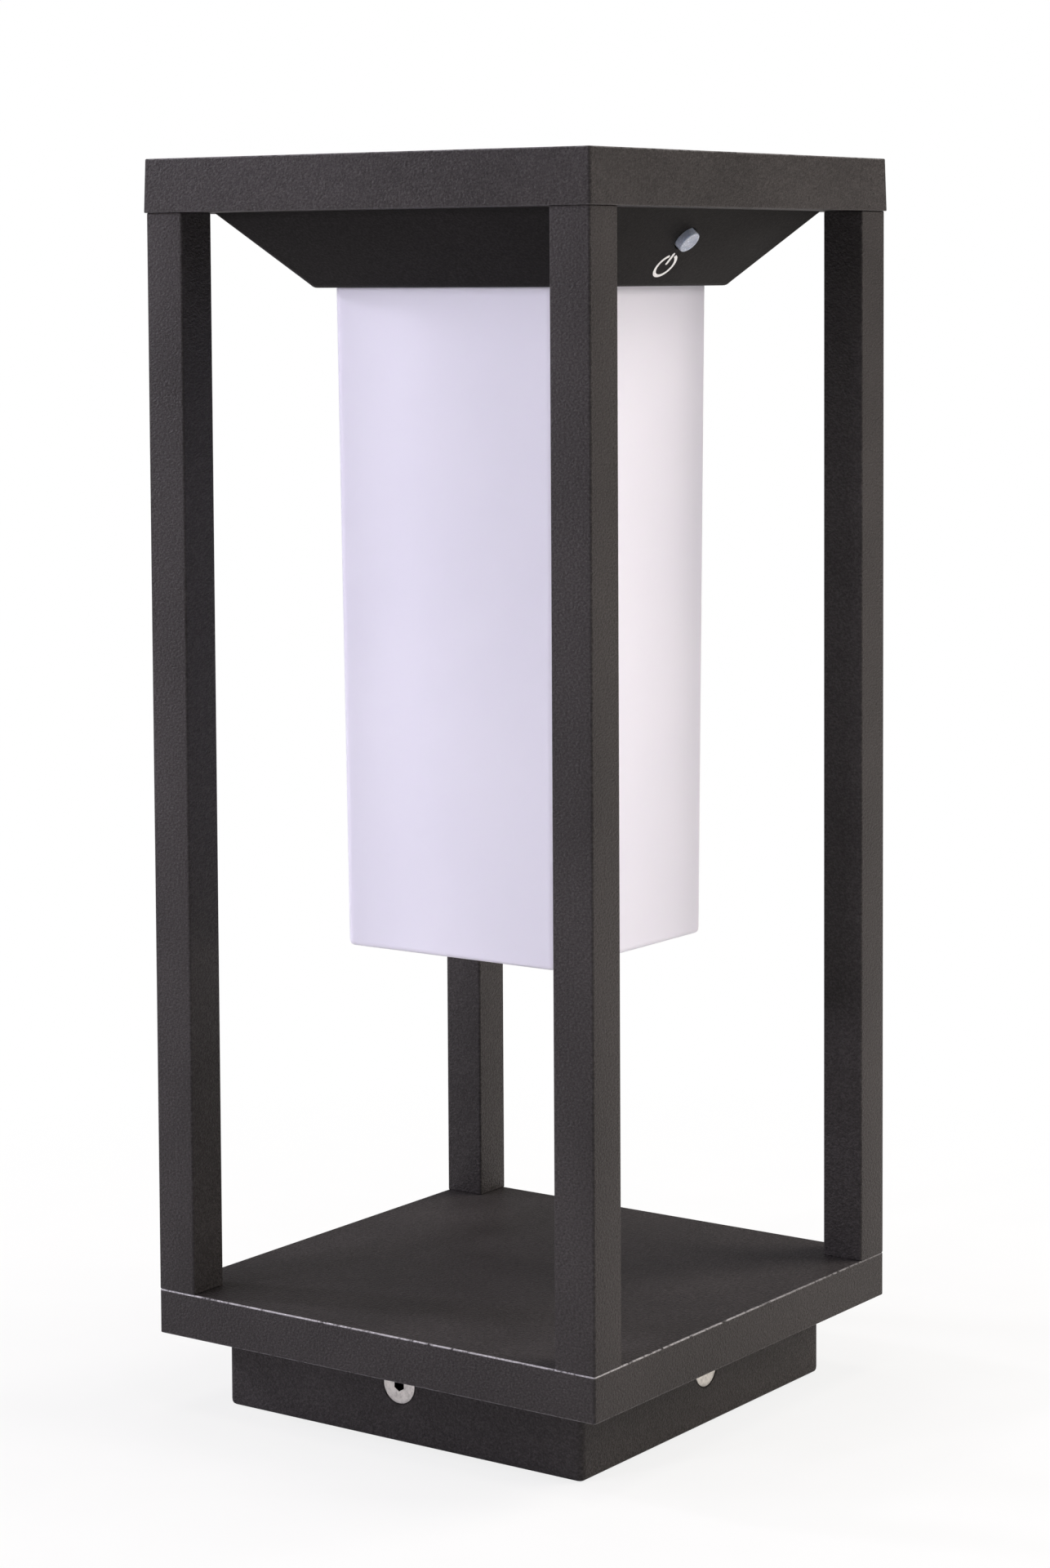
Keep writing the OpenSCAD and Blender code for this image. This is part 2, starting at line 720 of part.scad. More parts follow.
module solar_leads() color([0.75, 0.12, 0.10])
    for (x = [-1, 1]) translate([solar_plug[0] + x * wire_gap, solar_plug[1], lead_top])
        wire(solar_route, [0.7, 0.7, 0.05]);

module battery_leads() color([0.70, 0.10, 0.08]) {
    translate([battery_plug[0] + wire_gap, battery_plug[1], lead_top])
        wire(battery_near_route, [0.3, -0.5, 0.8]);
    translate([battery_plug[0] - wire_gap, battery_plug[1], lead_top])
        wire(battery_far_route, [0.3, -0.5, 0.8]);
}

module led_leads() color([0.90, 0.88, 0.82]) wire_pair(led_plug, led_route);
module switch_leads() color([0.15, 0.15, 0.16]) wire_pair(switch_plug, switch_route);

// ---- Button and switch ----

module switch_board() color(board_green) on_face(control_x, button_s)
    translate([-switch_board[0] / 2, -switch_board[1] / 2, -switch_board_depth - switch_board_t])
        difference() {
            cube([switch_board[0], switch_board[1], switch_board_t]);
            for (x = [-1, 1]) translate([switch_board[0] / 2 + x * switch_screw_at, switch_board[1] / 2, -1])
                cylinder(r = m2[0] + hole_play, h = switch_board_t + 2);
        }

module switch_board_screws() color(zinc)
    for (x = [-1, 1]) on_face(control_x + x * switch_screw_at, button_s)
        translate([0, 0, -switch_board_depth - switch_board_t]) mirror([0, 0, 1]) pan_screw(m2, 6);

module tact_switch() color([0.10, 0.10, 0.11]) on_face(control_x, button_s) difference() {
    translate([-switch_body_w / 2, -switch_body_w / 2, -switch_depth - switch_body_t])
        cube([switch_body_w, switch_body_w, switch_body_t]);
    depth_cylinder(stem_r + button_play, switch_depth - 1, switch_well + 1);
}

module switch_stem() color([0.85, 0.30, 0.15]) on_face(control_x, button_s)
    depth_cylinder(stem_r, stem_depth, stem_len);

module power_button() color(clear_silicone) on_face(control_x, button_s) {
    depth_cylinder(button_r, -button_out, button_out + flange_depth + button_flange_t / 2);
    depth_cylinder(flange_r, flange_depth, button_flange_t);
    depth_cylinder(plunger_r, flange_depth + button_flange_t / 2,
                   stem_depth - flange_depth - button_flange_t / 2);
}

module power_symbol() color("white") on_face(control_x, symbol_s) translate([0, 0, slab]) {
    difference() {
        cylinder(d = symbol_d, h = symbol_t);
        translate([0, 0, -1]) cylinder(d = symbol_d - 2 * symbol_line, h = symbol_t + 2);
        translate([-symbol_gap / 2, 0, -1]) cube([symbol_gap, symbol_d, symbol_t + 2]);
    }
    translate([-symbol_line / 2, symbol_d / 2 + 0.6 - symbol_bar, 0])
        cube([symbol_line, symbol_bar, symbol_t]);
}

mounting_plinth();
plinth_side_screws();
fixing_frame();
clinch_nuts();
fixing_frame_screws();
base_tray();
tray_bottom_plate();
bottom_plate_screws();
post_front_left();
post_front_right();
post_back_left();
post_back_right();
post_foot_plugs();
post_foot_screws();
post_head_plugs();
post_head_screws();
cap_frame();
panel_gasket();
panel_backing();
solar_cells();
panel_glass();
battery_housing();
housing_gasket();
housing_screws();
diffuser();
diffuser_gasket();
diffuser_clamp();
heatsink_plate();
heatsink_screws();
thermal_pad();
led_board();
led_chips();
battery_holder();
holder_screws();
battery_contacts();
battery_cells();
controller_board();
controller_components();
board_spacers();
board_screws();
wire_connectors();
solar_leads();
battery_leads();
led_leads();
switch_leads();
switch_board();
switch_board_screws();
tact_switch();
switch_stem();
power_button();
power_symbol();
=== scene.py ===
"""Looks of the solar garden lantern: detailed shells, screws, button and solar panel on the CAD frame.

Metres, +Z up, the power button faces -Y. Places and outer sizes come from the CAD nodes' own boxes.
"""

import json
import math

import bmesh
import bpy
from mathutils import Matrix, Vector


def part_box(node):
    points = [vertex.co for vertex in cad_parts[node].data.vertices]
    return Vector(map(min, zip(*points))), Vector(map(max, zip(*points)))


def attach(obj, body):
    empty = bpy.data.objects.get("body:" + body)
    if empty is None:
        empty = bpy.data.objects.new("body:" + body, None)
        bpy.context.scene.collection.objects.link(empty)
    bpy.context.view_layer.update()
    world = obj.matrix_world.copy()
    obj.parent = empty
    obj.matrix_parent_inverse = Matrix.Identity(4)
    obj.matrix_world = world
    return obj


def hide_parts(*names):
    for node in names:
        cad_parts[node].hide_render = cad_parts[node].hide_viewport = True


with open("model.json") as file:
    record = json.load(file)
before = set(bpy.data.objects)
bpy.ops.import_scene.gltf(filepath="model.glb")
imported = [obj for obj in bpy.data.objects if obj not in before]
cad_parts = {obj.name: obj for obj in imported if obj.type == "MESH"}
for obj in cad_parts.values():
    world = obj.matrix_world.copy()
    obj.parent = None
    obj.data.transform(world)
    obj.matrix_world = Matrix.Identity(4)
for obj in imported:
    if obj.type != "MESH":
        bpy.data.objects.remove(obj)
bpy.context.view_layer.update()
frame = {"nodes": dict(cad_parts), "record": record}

MM = 0.001
LANTERN = "lantern"
BUTTON = "button"
CORNER_STEPS = 8
FILLET_STEPS = 4
TURN_STEPS = 48
SMOOTH_DEGREES = 38
SHARP_DEGREES = 35

# The camera and the studio
CAMERA_LENS = 84.26
CAMERA_SHIFT_Y = -0.16
CAMERA_AZIMUTH = -54.457
CAMERA_DISTANCE = 0.9740
CAMERA_SIDE = 0.00045
CAMERA_HEIGHT = 0.2999
CAMERA_PITCH = -4.012
CAMERA_ROLL = -0.32
WORLD_LIGHT = 0.13
FLOOR_HALF = 6.0
FLOOR_FADE = 0.80
FLOOR_FADE_REACH = 1 / 2.6
FLOOR_GAP = 0.1 * MM
LIGHT_AIM = Vector((0, 0, 0.17))
# Softboxes: name, place, width, height, power in watts, colour, whether glossy surfaces mirror it
LIGHTS = (
    ("right_box", (0.85, -0.95, 0.92), 0.9, 0.9, 25.5, (1.0, 0.93, 0.86), False),
    ("low_right_box", (0.75, -1.15, 0.07), 0.7, 0.12, 3.5, (1.0, 0.92, 0.84), True),
    ("left_box", (-1.20, 0.90, 1.00), 0.7, 0.7, 9.0, (0.95, 0.91, 1.0), False),
    ("rake_box", (-0.45, 1.30, 0.80), 0.15, 0.15, 9.0, (0.94, 0.89, 1.0), True),
    ("sheen_box", (-1.30, 0.45, 0.44), 0.12, 0.12, 8.0, (0.94, 0.89, 1.0), False),
    ("top_box", (0.00, 0.00, 1.80), 1.2, 1.2, 15.0, (1.0, 0.96, 0.92), False),
    ("under_box", (0.00, 0.00, -0.80), 0.4, 0.4, 6.0, (1.0, 1.0, 1.0), False),
)


# ---------------------------------------------------------------- shader helpers


class Shader:
    """A material's node tree with short calls for the nodes that the finishes below use."""

    def __init__(self, name, **values):
        self.material = bpy.data.materials.new(name)
        self.material.use_nodes = True
        self.tree = self.material.node_tree
        self.surface = self.tree.nodes["Principled BSDF"]
        self.coordinates = None
        for socket, value in values.items():
            self.surface.inputs[socket.replace("_", " ")].default_value = value

    def node(self, kind, **settings):
        made = self.tree.nodes.new(kind)
        for key, value in settings.items():
            setattr(made, key, value)
        return made

    def link(self, source, target):
        self.tree.links.new(source, target)

    def place(self, output="Object"):
        """The object's own coordinates, or its UV. Scales of noise and cells are features per metre."""
        if self.coordinates is None:
            self.coordinates = self.node("ShaderNodeTexCoord")
        return self.coordinates.outputs[output]

    def stretched(self, scale):
        """Coordinates scaled separately along each axis."""
        mapping = self.node("ShaderNodeMapping")
        self.link(self.place(), mapping.inputs["Vector"])
        mapping.inputs["Scale"].default_value = scale
        return mapping.outputs["Vector"]

    def noise(self, scale, detail=2.0, roughness=0.5, vector=None):
        made = self.node("ShaderNodeTexNoise")
        made.inputs["Scale"].default_value = scale
        made.inputs["Detail"].default_value = detail
        made.inputs["Roughness"].default_value = roughness
        self.link(vector if vector is not None else self.place(), made.inputs["Vector"])
        return made.outputs["Fac"]

    def cells(self, scale, feature="F1", vector=None):
        made = self.node("ShaderNodeTexVoronoi", feature=feature)
        made.inputs["Scale"].default_value = scale
        self.link(vector if vector is not None else self.place(), made.inputs["Vector"])
        return made.outputs["Distance"]

    def spread(self, source, low, high, from_low=0.0, from_high=1.0):
        """Maps source from one range to another, without leaving it."""
        made = self.node("ShaderNodeMapRange")
        made.inputs["From Min"].default_value = from_low
        made.inputs["From Max"].default_value = from_high
        made.inputs["To Min"].default_value = low
        made.inputs["To Max"].default_value = high
        self.link(source, made.inputs["Value"])
        return made.outputs["Result"]

    def maths(self, operation, first, second=None):
        made = self.node("ShaderNodeMath", operation=operation)
        for socket, value in zip(made.inputs, (first, second)):
            if value is None:
                continue
            if isinstance(value, (int, float)):
                socket.default_value = value
            else:
                self.link(value, socket)
        return made.outputs["Value"]

    def colours(self, source, stops):
        """A colour ramp over (place, colour) stops."""
        made = self.node("ShaderNodeValToRGB")
        ramp = made.color_ramp
        while len(ramp.elements) < len(stops):
            ramp.elements.new(0.5)
        for element, (place, colour) in zip(ramp.elements, stops):
            element.position = place
            element.color = (*colour, 1)
        self.link(source, made.inputs["Fac"])
        return made.outputs["Color"]

    def mixed(self, share, first, second):
        """Two colours, or sockets that carry them, mixed by share."""
        made = self.node("ShaderNodeMix", data_type="RGBA")
        self.link(share, made.inputs["Factor"])
        for socket, value in ((made.inputs[6], first), (made.inputs[7], second)):
            if isinstance(value, tuple):
                socket.default_value = (*value, 1)
            else:
                self.link(value, socket)
        return made.outputs[2]

    def bump(self, height, depth, strength=1.0, under=None):
        made = self.node("ShaderNodeBump")
        made.inputs["Distance"].default_value = depth
        made.inputs["Strength"].default_value = strength
        self.link(height, made.inputs["Height"])
        if under is not None:
            self.link(under, made.inputs["Normal"])
        return made.outputs["Normal"]

    def feed(self, socket, source):
        self.link(source, self.surface.inputs[socket])


def tinted(colour, factor):
    """colour made darker or lighter by factor."""
    return tuple(channel * factor for channel in colour)


# ---------------------------------------------------------------- finishes


def coat_finish(name, colour, gloss, grain, shine):
    """Fine-texture powder coat: pebbled ridges, slow drifts of shade and gloss, and rubbed edges whose
    lighter, part-metallic line is partly real wear and partly a painted highlight.
    """
    s = Shader(name)
    s.surface.inputs["Specular IOR Level"].default_value = shine
    ridges = s.noise(1300, 3, 0.65, s.stretched((1, 1, 1.6)))
    pebbles = s.cells(1700, "SMOOTH_F1")
    drift = s.noise(26, 2, 0.55)
    height = s.maths("ADD", ridges, s.maths("MULTIPLY", pebbles, 0.45))
    shade = s.maths("ADD", s.maths("MULTIPLY", ridges, 0.75), s.maths("MULTIPLY", drift, 0.25))
    coat = s.colours(shade, (
        (0.36, tinted(colour, 0.66)),
        (0.50, colour),
        (0.66, tinted(colour, 1.62)),
    ))
    # Marked edges get a lighter, part-metallic line, broken up by noise: partly real rubbed wear, partly a
    # painted highlight.
    edge = s.node("ShaderNodeAttribute", attribute_name="edge").outputs["Fac"]
    wear_highlight_breakup = s.spread(s.noise(480, 4, 0.7), 0.0, 1.0, 0.36, 0.52)
    wear_and_highlight = s.maths("MULTIPLY", edge, wear_highlight_breakup)
    s.feed("Base Color", s.mixed(wear_and_highlight, coat, (0.56, 0.55, 0.57)))
    s.feed("Metallic", s.maths("MULTIPLY", wear_and_highlight, 0.4))
    s.feed("Roughness", s.spread(drift, gloss - 0.05, gloss + 0.06, 0.3, 0.7))
    s.feed("Normal", s.bump(height, grain))
    return s.material


def opal_finish():
    """Satin opal plastic, with the faint clouding of a moulded diffuser."""
    s = Shader("opal_plastic", Subsurface_Weight=0.35, Subsurface_Scale=0.004, Roughness=0.36)
    s.surface.inputs["Subsurface Radius"].default_value = (1.0, 0.9, 1.0)
    clouds = s.noise(18, 3, 0.5)
    s.feed("Base Color", s.colours(clouds, (
        (0.25, (0.676, 0.672, 0.768)),
        (0.75, (0.712, 0.706, 0.798)),
    )))
    s.feed("Roughness", s.spread(s.noise(60, 2), 0.32, 0.42))
    s.feed("Normal", s.bump(s.noise(420, 2), 0.00001, 0.4))
    return s.material


def turned_steel_finish(name, colour, roughness):
    """Machined metal: turning rings follow the UV's u, which is the distance from the screw's axis; the
    socket walls are painted near black, painted shade in the socket.
    """
    s = Shader(name, Metallic=1.0)
    split = s.node("ShaderNodeSeparateXYZ")
    s.link(s.place("UV"), split.inputs["Vector"])
    rings = s.maths("SINE", s.maths("MULTIPLY", split.outputs["X"], 2 * math.pi * 9))
    grime = s.noise(900, 3, 0.6)
    steel_tone = s.colours(grime, (
        (0.30, tinted(colour, 0.70)),
        (0.55, colour),
        (0.80, tinted(colour, 1.12)),
    ))
    # The socket walls, marked by the edge attribute, are painted near black: painted shade in the socket.
    socket_painted_shade = s.node("ShaderNodeAttribute", attribute_name="edge").outputs["Fac"]
    s.feed("Base Color", s.mixed(socket_painted_shade, steel_tone, tinted(colour, 0.06)))
    s.feed("Roughness", s.spread(grime, roughness - 0.08, roughness + 0.14))
    s.feed("Normal", s.bump(rings, 0.000006, 0.6, s.bump(s.noise(2600, 2), 0.00001, 0.5)))
    return s.material


def plated_finish(name, colour, roughness):
    """Plated or mill-finish metal, with a fine rolled grain and a few duller patches."""
    s = Shader(name, Metallic=1.0)
    grain = s.noise(900, 2, 0.6, s.stretched((0.08, 1, 1)))
    patches = s.noise(110, 3, 0.6)
    s.feed("Base Color", s.colours(patches, (
        (0.30, tinted(colour, 0.78)),
        (0.60, colour),
        (0.85, tinted(colour, 1.10)),
    )))
    s.feed("Roughness", s.spread(patches, roughness - 0.07, roughness + 0.12, 0.25, 0.75))
    s.feed("Normal", s.bump(grain, 0.00001, 0.5))
    return s.material


def moulded_finish(name, colour, roughness, grain=0.00002, scale=1400):
    """Moulded plastic, rubber or resin: an even spark-eroded grain and a slight shade drift."""
    s = Shader(name)
    texture = s.noise(scale, 2, 0.6)
    drift = s.noise(60, 2)
    s.feed("Base Color", s.colours(drift, (
        (0.25, tinted(colour, 0.85)),
        (0.75, tinted(colour, 1.12)),
    )))
    s.feed("Roughness", s.spread(texture, roughness - 0.06, roughness + 0.08))
    s.feed("Normal", s.bump(texture, grain, 0.7))
    return s.material


def clear_silicone_finish():
    """Translucent blue-grey silicone, slightly cloudy inside."""
    s = Shader("clear_silicone", Subsurface_Weight=0.6, Subsurface_Scale=0.0015, Transmission_Weight=0.15,
               IOR=1.41, Roughness=0.24)
    s.surface.inputs["Subsurface Radius"].default_value = (0.7, 0.85, 1.0)
    s.feed("Base Color", s.colours(s.noise(700, 3, 0.6), (
        (0.30, (0.40, 0.45, 0.55)),
        (0.75, (0.56, 0.60, 0.70)),
    )))
    s.feed("Roughness", s.spread(s.noise(1500, 2), 0.18, 0.34))
    s.feed("Normal", s.bump(s.noise(900, 2), 0.00002, 0.5))
    return s.material


def ink_finish():
    """Pad-printed white ink, a little uneven at this scale."""
    s = Shader("white_ink")
    cover = s.noise(2600, 3, 0.6)
    s.feed("Base Color", s.colours(cover, (
        (0.25, (0.66, 0.66, 0.66)),
        (0.55, (0.88, 0.88, 0.88)),
    )))
    s.feed("Roughness", s.spread(cover, 0.45, 0.62))
    s.feed("Normal", s.bump(cover, 0.00001, 0.5))
    return s.material


def cell_finish():
    """Dark silicon with silver collector fingers, 2 mm apart, running across each cell."""
    finger_pitch, finger_share = 2.0 * MM, 0.055
    s = Shader("silicon_cells")
    split = s.node("ShaderNodeSeparateXYZ")
    s.link(s.place(), split.inputs["Vector"])
    phase = s.maths("FRACT", s.maths("MULTIPLY", split.outputs["X"], 1 / finger_pitch))
    finger = s.maths("LESS_THAN", phase, finger_share)
    grains = s.cells(190)
    silicon = s.colours(grains, (
        (0.0, (0.006, 0.010, 0.040)),
        (0.5, (0.010, 0.018, 0.062)),
        (1.0, (0.016, 0.028, 0.090)),
    ))
    s.feed("Base Color", s.mixed(finger, silicon, (0.42, 0.44, 0.46)))
    s.feed("Metallic", s.spread(finger, 0.0, 0.85))
    s.feed("Roughness", s.spread(grains, 0.22, 0.34))
    return s.material


def glass_finish():
    """Low-iron solar glass with a fine rolled stipple."""
    s = Shader("panel_glass", Transmission_Weight=1.0, IOR=1.50)
    s.surface.inputs["Base Color"].default_value = (0.93, 0.96, 0.98, 1)
    s.feed("Roughness", s.spread(s.noise(220, 2), 0.03, 0.09))
    s.feed("Normal", s.bump(s.cells(950, "SMOOTH_F1"), 0.00002, 0.22))
    return s.material


def laminate_finish():
    """Dark laminate behind the cells, with a woven glass-cloth ghost."""
    s = Shader("panel_laminate")
    weave = s.node("ShaderNodeTexWave", bands_direction="DIAGONAL")
    weave.inputs["Scale"].default_value = 520
    s.link(s.place(), weave.inputs["Vector"])
    s.feed("Base Color", s.colours(weave.outputs["Fac"], (
        (0.0, (0.014, 0.015, 0.020)),
        (1.0, (0.024, 0.026, 0.034)),
    )))
    s.feed("Roughness", s.spread(s.noise(500), 0.4, 0.55))
    return s.material


def board_finish(name, mask, copper):
    """Circuit board: solder mask with traces showing through it as a slightly lighter network."""
    s = Shader(name)
    network = s.cells(430, "DISTANCE_TO_EDGE")
    trace = s.maths("LESS_THAN", network, 0.07)
    s.feed("Base Color", s.mixed(trace, mask, copper))
    s.feed("Roughness", s.spread(s.noise(300), 0.25, 0.36))
    s.feed("Normal", s.bump(trace, 0.00003, 0.6))
    return s.material


def phosphor_finish():
    """Yellow phosphor dome of an unlit LED, grainy inside."""
    s = Shader("led_phosphor", Subsurface_Weight=0.3, Subsurface_Scale=0.001)
    grain = s.noise(2800, 3)
    s.feed("Base Color", s.colours(grain, (
        (0.3, (0.80, 0.56, 0.10)),
        (0.7, (0.95, 0.78, 0.30)),
    )))
    s.feed("Roughness", s.spread(grain, 0.20, 0.35))
    return s.material


def make_finishes():
    """One procedural material for each material slot of the record."""
    charcoal = (0.0345, 0.0316, 0.0318)
    return {
        "powder_coat": coat_finish("powder_coat", charcoal, 0.40, 0.00034, 0.13),
        # The housing is this same powder coat painted about a third as bright: painted shade of the
        # down-facing hopper.
        "black_housing": coat_finish("black_housing", (0.0105, 0.0098, 0.0098), 0.50, 0.00005, 0.05),
        "stainless": turned_steel_finish("stainless", (0.74, 0.72, 0.69), 0.30),
        "zinc_steel": plated_finish("zinc_steel", (0.58, 0.59, 0.61), 0.34),
        "cast_zinc": plated_finish("cast_zinc", (0.50, 0.51, 0.53), 0.52),
        "bare_aluminium": plated_finish("bare_aluminium", (0.74, 0.75, 0.77), 0.38),
        "spring_steel": plated_finish("spring_steel", (0.70, 0.69, 0.66), 0.20),
        "grey_silicone": moulded_finish("grey_silicone", (0.13, 0.135, 0.14), 0.72),
        "thermal_silicone": moulded_finish("thermal_silicone", (0.42, 0.50, 0.58), 0.80),
        "black_nylon": moulded_finish("black_nylon", (0.018, 0.018, 0.020), 0.55),
        "component_resin": moulded_finish("component_resin", (0.026, 0.026, 0.028), 0.48),
        "connector_nylon": moulded_finish("connector_nylon", (0.76, 0.72, 0.62), 0.46),
        "cell_sleeve": moulded_finish("cell_sleeve", (0.025, 0.17, 0.38), 0.24, 0.00001, 500),
        "red_insulation": moulded_finish("red_insulation", (0.46, 0.025, 0.018), 0.42),
        "white_insulation": moulded_finish("white_insulation", (0.70, 0.68, 0.64), 0.44),
        "black_insulation": moulded_finish("black_insulation", (0.018, 0.018, 0.018), 0.42),
        "switch_stem_plastic": moulded_finish("switch_stem_plastic", (0.55, 0.09, 0.03), 0.40),
        "opal_plastic": opal_finish(),
        "panel_laminate": laminate_finish(),
        "silicon_cells": cell_finish(),
        "panel_glass": glass_finish(),
        "white_board": board_finish("white_board", (0.80, 0.81, 0.80), (0.70, 0.71, 0.69)),
        "green_board": board_finish("green_board", (0.010, 0.110, 0.040), (0.022, 0.190, 0.075)),
        "led_phosphor": phosphor_finish(),
        "clear_silicone": clear_silicone_finish(),
        "white_ink": ink_finish(),
    }


FINISHES = make_finishes()
SLOT_OF = {row["node"]: row["material_slot"] for row in frame["record"]["subparts"]}


# ---------------------------------------------------------------- mesh helpers


def square_loop(half, radius):
    """Points of a square with round corners, anticlockwise; every loop has the same number of points."""
    smallest, largest = 0.02 * MM, half * 0.98
    radius = min(max(radius, smallest), largest)
    points = []
    for turn, (sx, sy) in enumerate(((1, 1), (-1, 1), (-1, -1), (1, -1))):
        for step in range(CORNER_STEPS + 1):
            angle = math.radians(90) * (turn + step / CORNER_STEPS)
            points.append((sx * (half - radius) + radius * math.cos(angle),
                           sy * (half - radius) + radius * math.sin(angle)))
    return points


def filleted(profile):
    """Turns profile points (half, corner radius, z, fillet, rub) into sections (half, radius, z, rub).

    The profile is closed. A fillet is a quadratic curve between the two points where it leaves the sides,
    and the last value, which may be left out, says how much rubbed wear and painted highlight the middle of
    that fillet gets.
    """
    sections = []
    count = len(profile)
    for index, (half, radius, z, fillet, *rub_and_highlight) in enumerate(profile):
        here = Vector((half, z))
        before = Vector((profile[index - 1][0], profile[index - 1][2]))
        after = Vector((profile[(index + 1) % count][0], profile[(index + 1) % count][2]))
        if fillet <= 0:
            sections.append((half, radius, z, 0.0))
            continue
        start = here + (before - here).normalized() * fillet
        end = here + (after - here).normalized() * fillet
        for step in range(FILLET_STEPS + 1):
            t = step / FILLET_STEPS
            point = start * (1 - t) ** 2 + here * (2 * t * (1 - t)) + end * t ** 2
            # Share of the lighter line at this point of the fillet: partly rubbed wear, partly painted
            # highlight.
            wear_and_highlight = rub_and_highlight[0] * min(1.0, 4 * t * (1 - t)) if rub_and_highlight else 0.0
            sections.append((point.x, radius + point.x - half, point.y, wear_and_highlight))
    return sections


def skin(work, low, high):
    """Adds the band of faces between two rings of as many vertices each, and returns its faces."""
    sides = zip(low, low[1:] + low[:1], high[1:] + high[:1], high)
    return [work.faces.new(corners) for corners in sides]


def loft(work, sections, centre=(0, 0), closed=True):
    """Adds the skin through square sections to a bmesh. An open loft gets flat ends."""
    edge = work.verts.layers.float.get("edge") or work.verts.layers.float.new("edge")
    rings = []
    for half, radius, z, rub_and_highlight in sections:
        ring = [work.verts.new((centre[0] + x, centre[1] + y, z)) for x, y in square_loop(half, radius)]
        # Each vertex stores that share in the edge attribute, which the powder coat paints as a lighter line,
        # partly painted highlight.
        for vertex in ring:
            vertex[edge] = rub_and_highlight
        rings.append(ring)
    pairs = list(zip(rings, rings[1:] + rings[:1])) if closed else list(zip(rings, rings[1:]))
    for low, high in pairs:
        skin(work, low, high)
    if not closed:
        work.faces.new(rings[0][::-1])
        work.faces.new(rings[-1])


def finish_piece(work, name, slot, body=LANTERN, replaces=(), smooth_degrees=SMOOTH_DEGREES):
    """Turns a bmesh into a piece that rides on a body, with the slot's finish."""
    same_point = 0.001 * MM
    bmesh.ops.remove_doubles(work, verts=work.verts, dist=same_point)
    bmesh.ops.recalc_face_normals(work, faces=work.faces)
    mesh = bpy.data.meshes.new(name)
    work.to_mesh(mesh)
    work.free()
    piece = bpy.data.objects.new(name, mesh)
    bpy.context.scene.collection.objects.link(piece)
    dress(piece, slot, body, replaces, smooth_degrees)
    return piece


def dress(piece, slot, body=LANTERN, replaces=(), smooth_degrees=SMOOTH_DEGREES):
    """Gives a piece its finish and smooth shading, and says what it rides on and what it stands for."""
    piece.data.materials.clear()
    piece.data.materials.append(FINISHES[slot])
    piece.data.shade_smooth()
    piece.data.set_sharp_from_angle(angle=math.radians(smooth_degrees))
    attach(piece, body)
    if replaces:
        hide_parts(*replaces)


def apply_modifiers(piece):
    graph = bpy.context.evaluated_depsgraph_get()
    mesh = bpy.data.meshes.new_from_object(piece.evaluated_get(graph))
    piece.modifiers.clear()
    piece.data = mesh


def cut(piece, cutters):
    """Cuts closed bmesh shapes out of a piece."""
    for index, cutter in enumerate(cutters):
        bmesh.ops.recalc_face_normals(cutter, faces=cutter.faces)
        mesh = bpy.data.meshes.new("cutter")
        cutter.to_mesh(mesh)
        cutter.free()
        tool = bpy.data.objects.new("cutter", mesh)
        bpy.context.scene.collection.objects.link(tool)
        modifier = piece.modifiers.new(f"cut_{index}", "BOOLEAN")
        modifier.operation = "DIFFERENCE"
        modifier.solver = "EXACT"
        modifier.object = tool
        apply_modifiers(piece)
        bpy.data.objects.remove(tool)
        bpy.data.meshes.remove(mesh)


def round_edges(piece, width):
    """Rounds a piece's sharp edges."""
    bevel = piece.modifiers.new("round_edges", "BEVEL")
    bevel.width = width
    bevel.segments = 2
    bevel.limit_method = "ANGLE"
    bevel.angle_limit = math.radians(SHARP_DEGREES)
    apply_modifiers(piece)


def lathe(work, profile, matrix):
    """Adds a closed solid of revolution about local Z; profile runs from axis to axis as (r, z)."""
    angles = [2 * math.pi * k / TURN_STEPS for k in range(TURN_STEPS)]
    rings = []
    for r, z in profile:
        places = [(r * math.cos(a), r * math.sin(a), z) for a in angles] if r > 0 else [(0, 0, z)]
        rings.append([work.verts.new(matrix @ Vector(place)) for place in places])
    for low, high in zip(rings, rings[1:]):
        for k in range(TURN_STEPS):
            following = (k + 1) % TURN_STEPS
            corners = [low[k % len(low)], low[following % len(low)],
                       high[following % len(high)], high[k % len(high)]]
            unique = list(dict.fromkeys(corners))
            if len(unique) >= 3:
                work.faces.new(unique)


def hex_points(across_corners, count, turn=0.0):
    """count points, a multiple of six, spread along a hexagon's sides."""
    corners = [Vector((math.cos(turn + math.radians(60 * k)), math.sin(turn + math.radians(60 * k))))
               * across_corners / 2 for k in range(6)]
    per_side = count // 6
    return [corners[side].lerp(corners[(side + 1) % 6], step / per_side)
            for side in range(6) for step in range(per_side)]


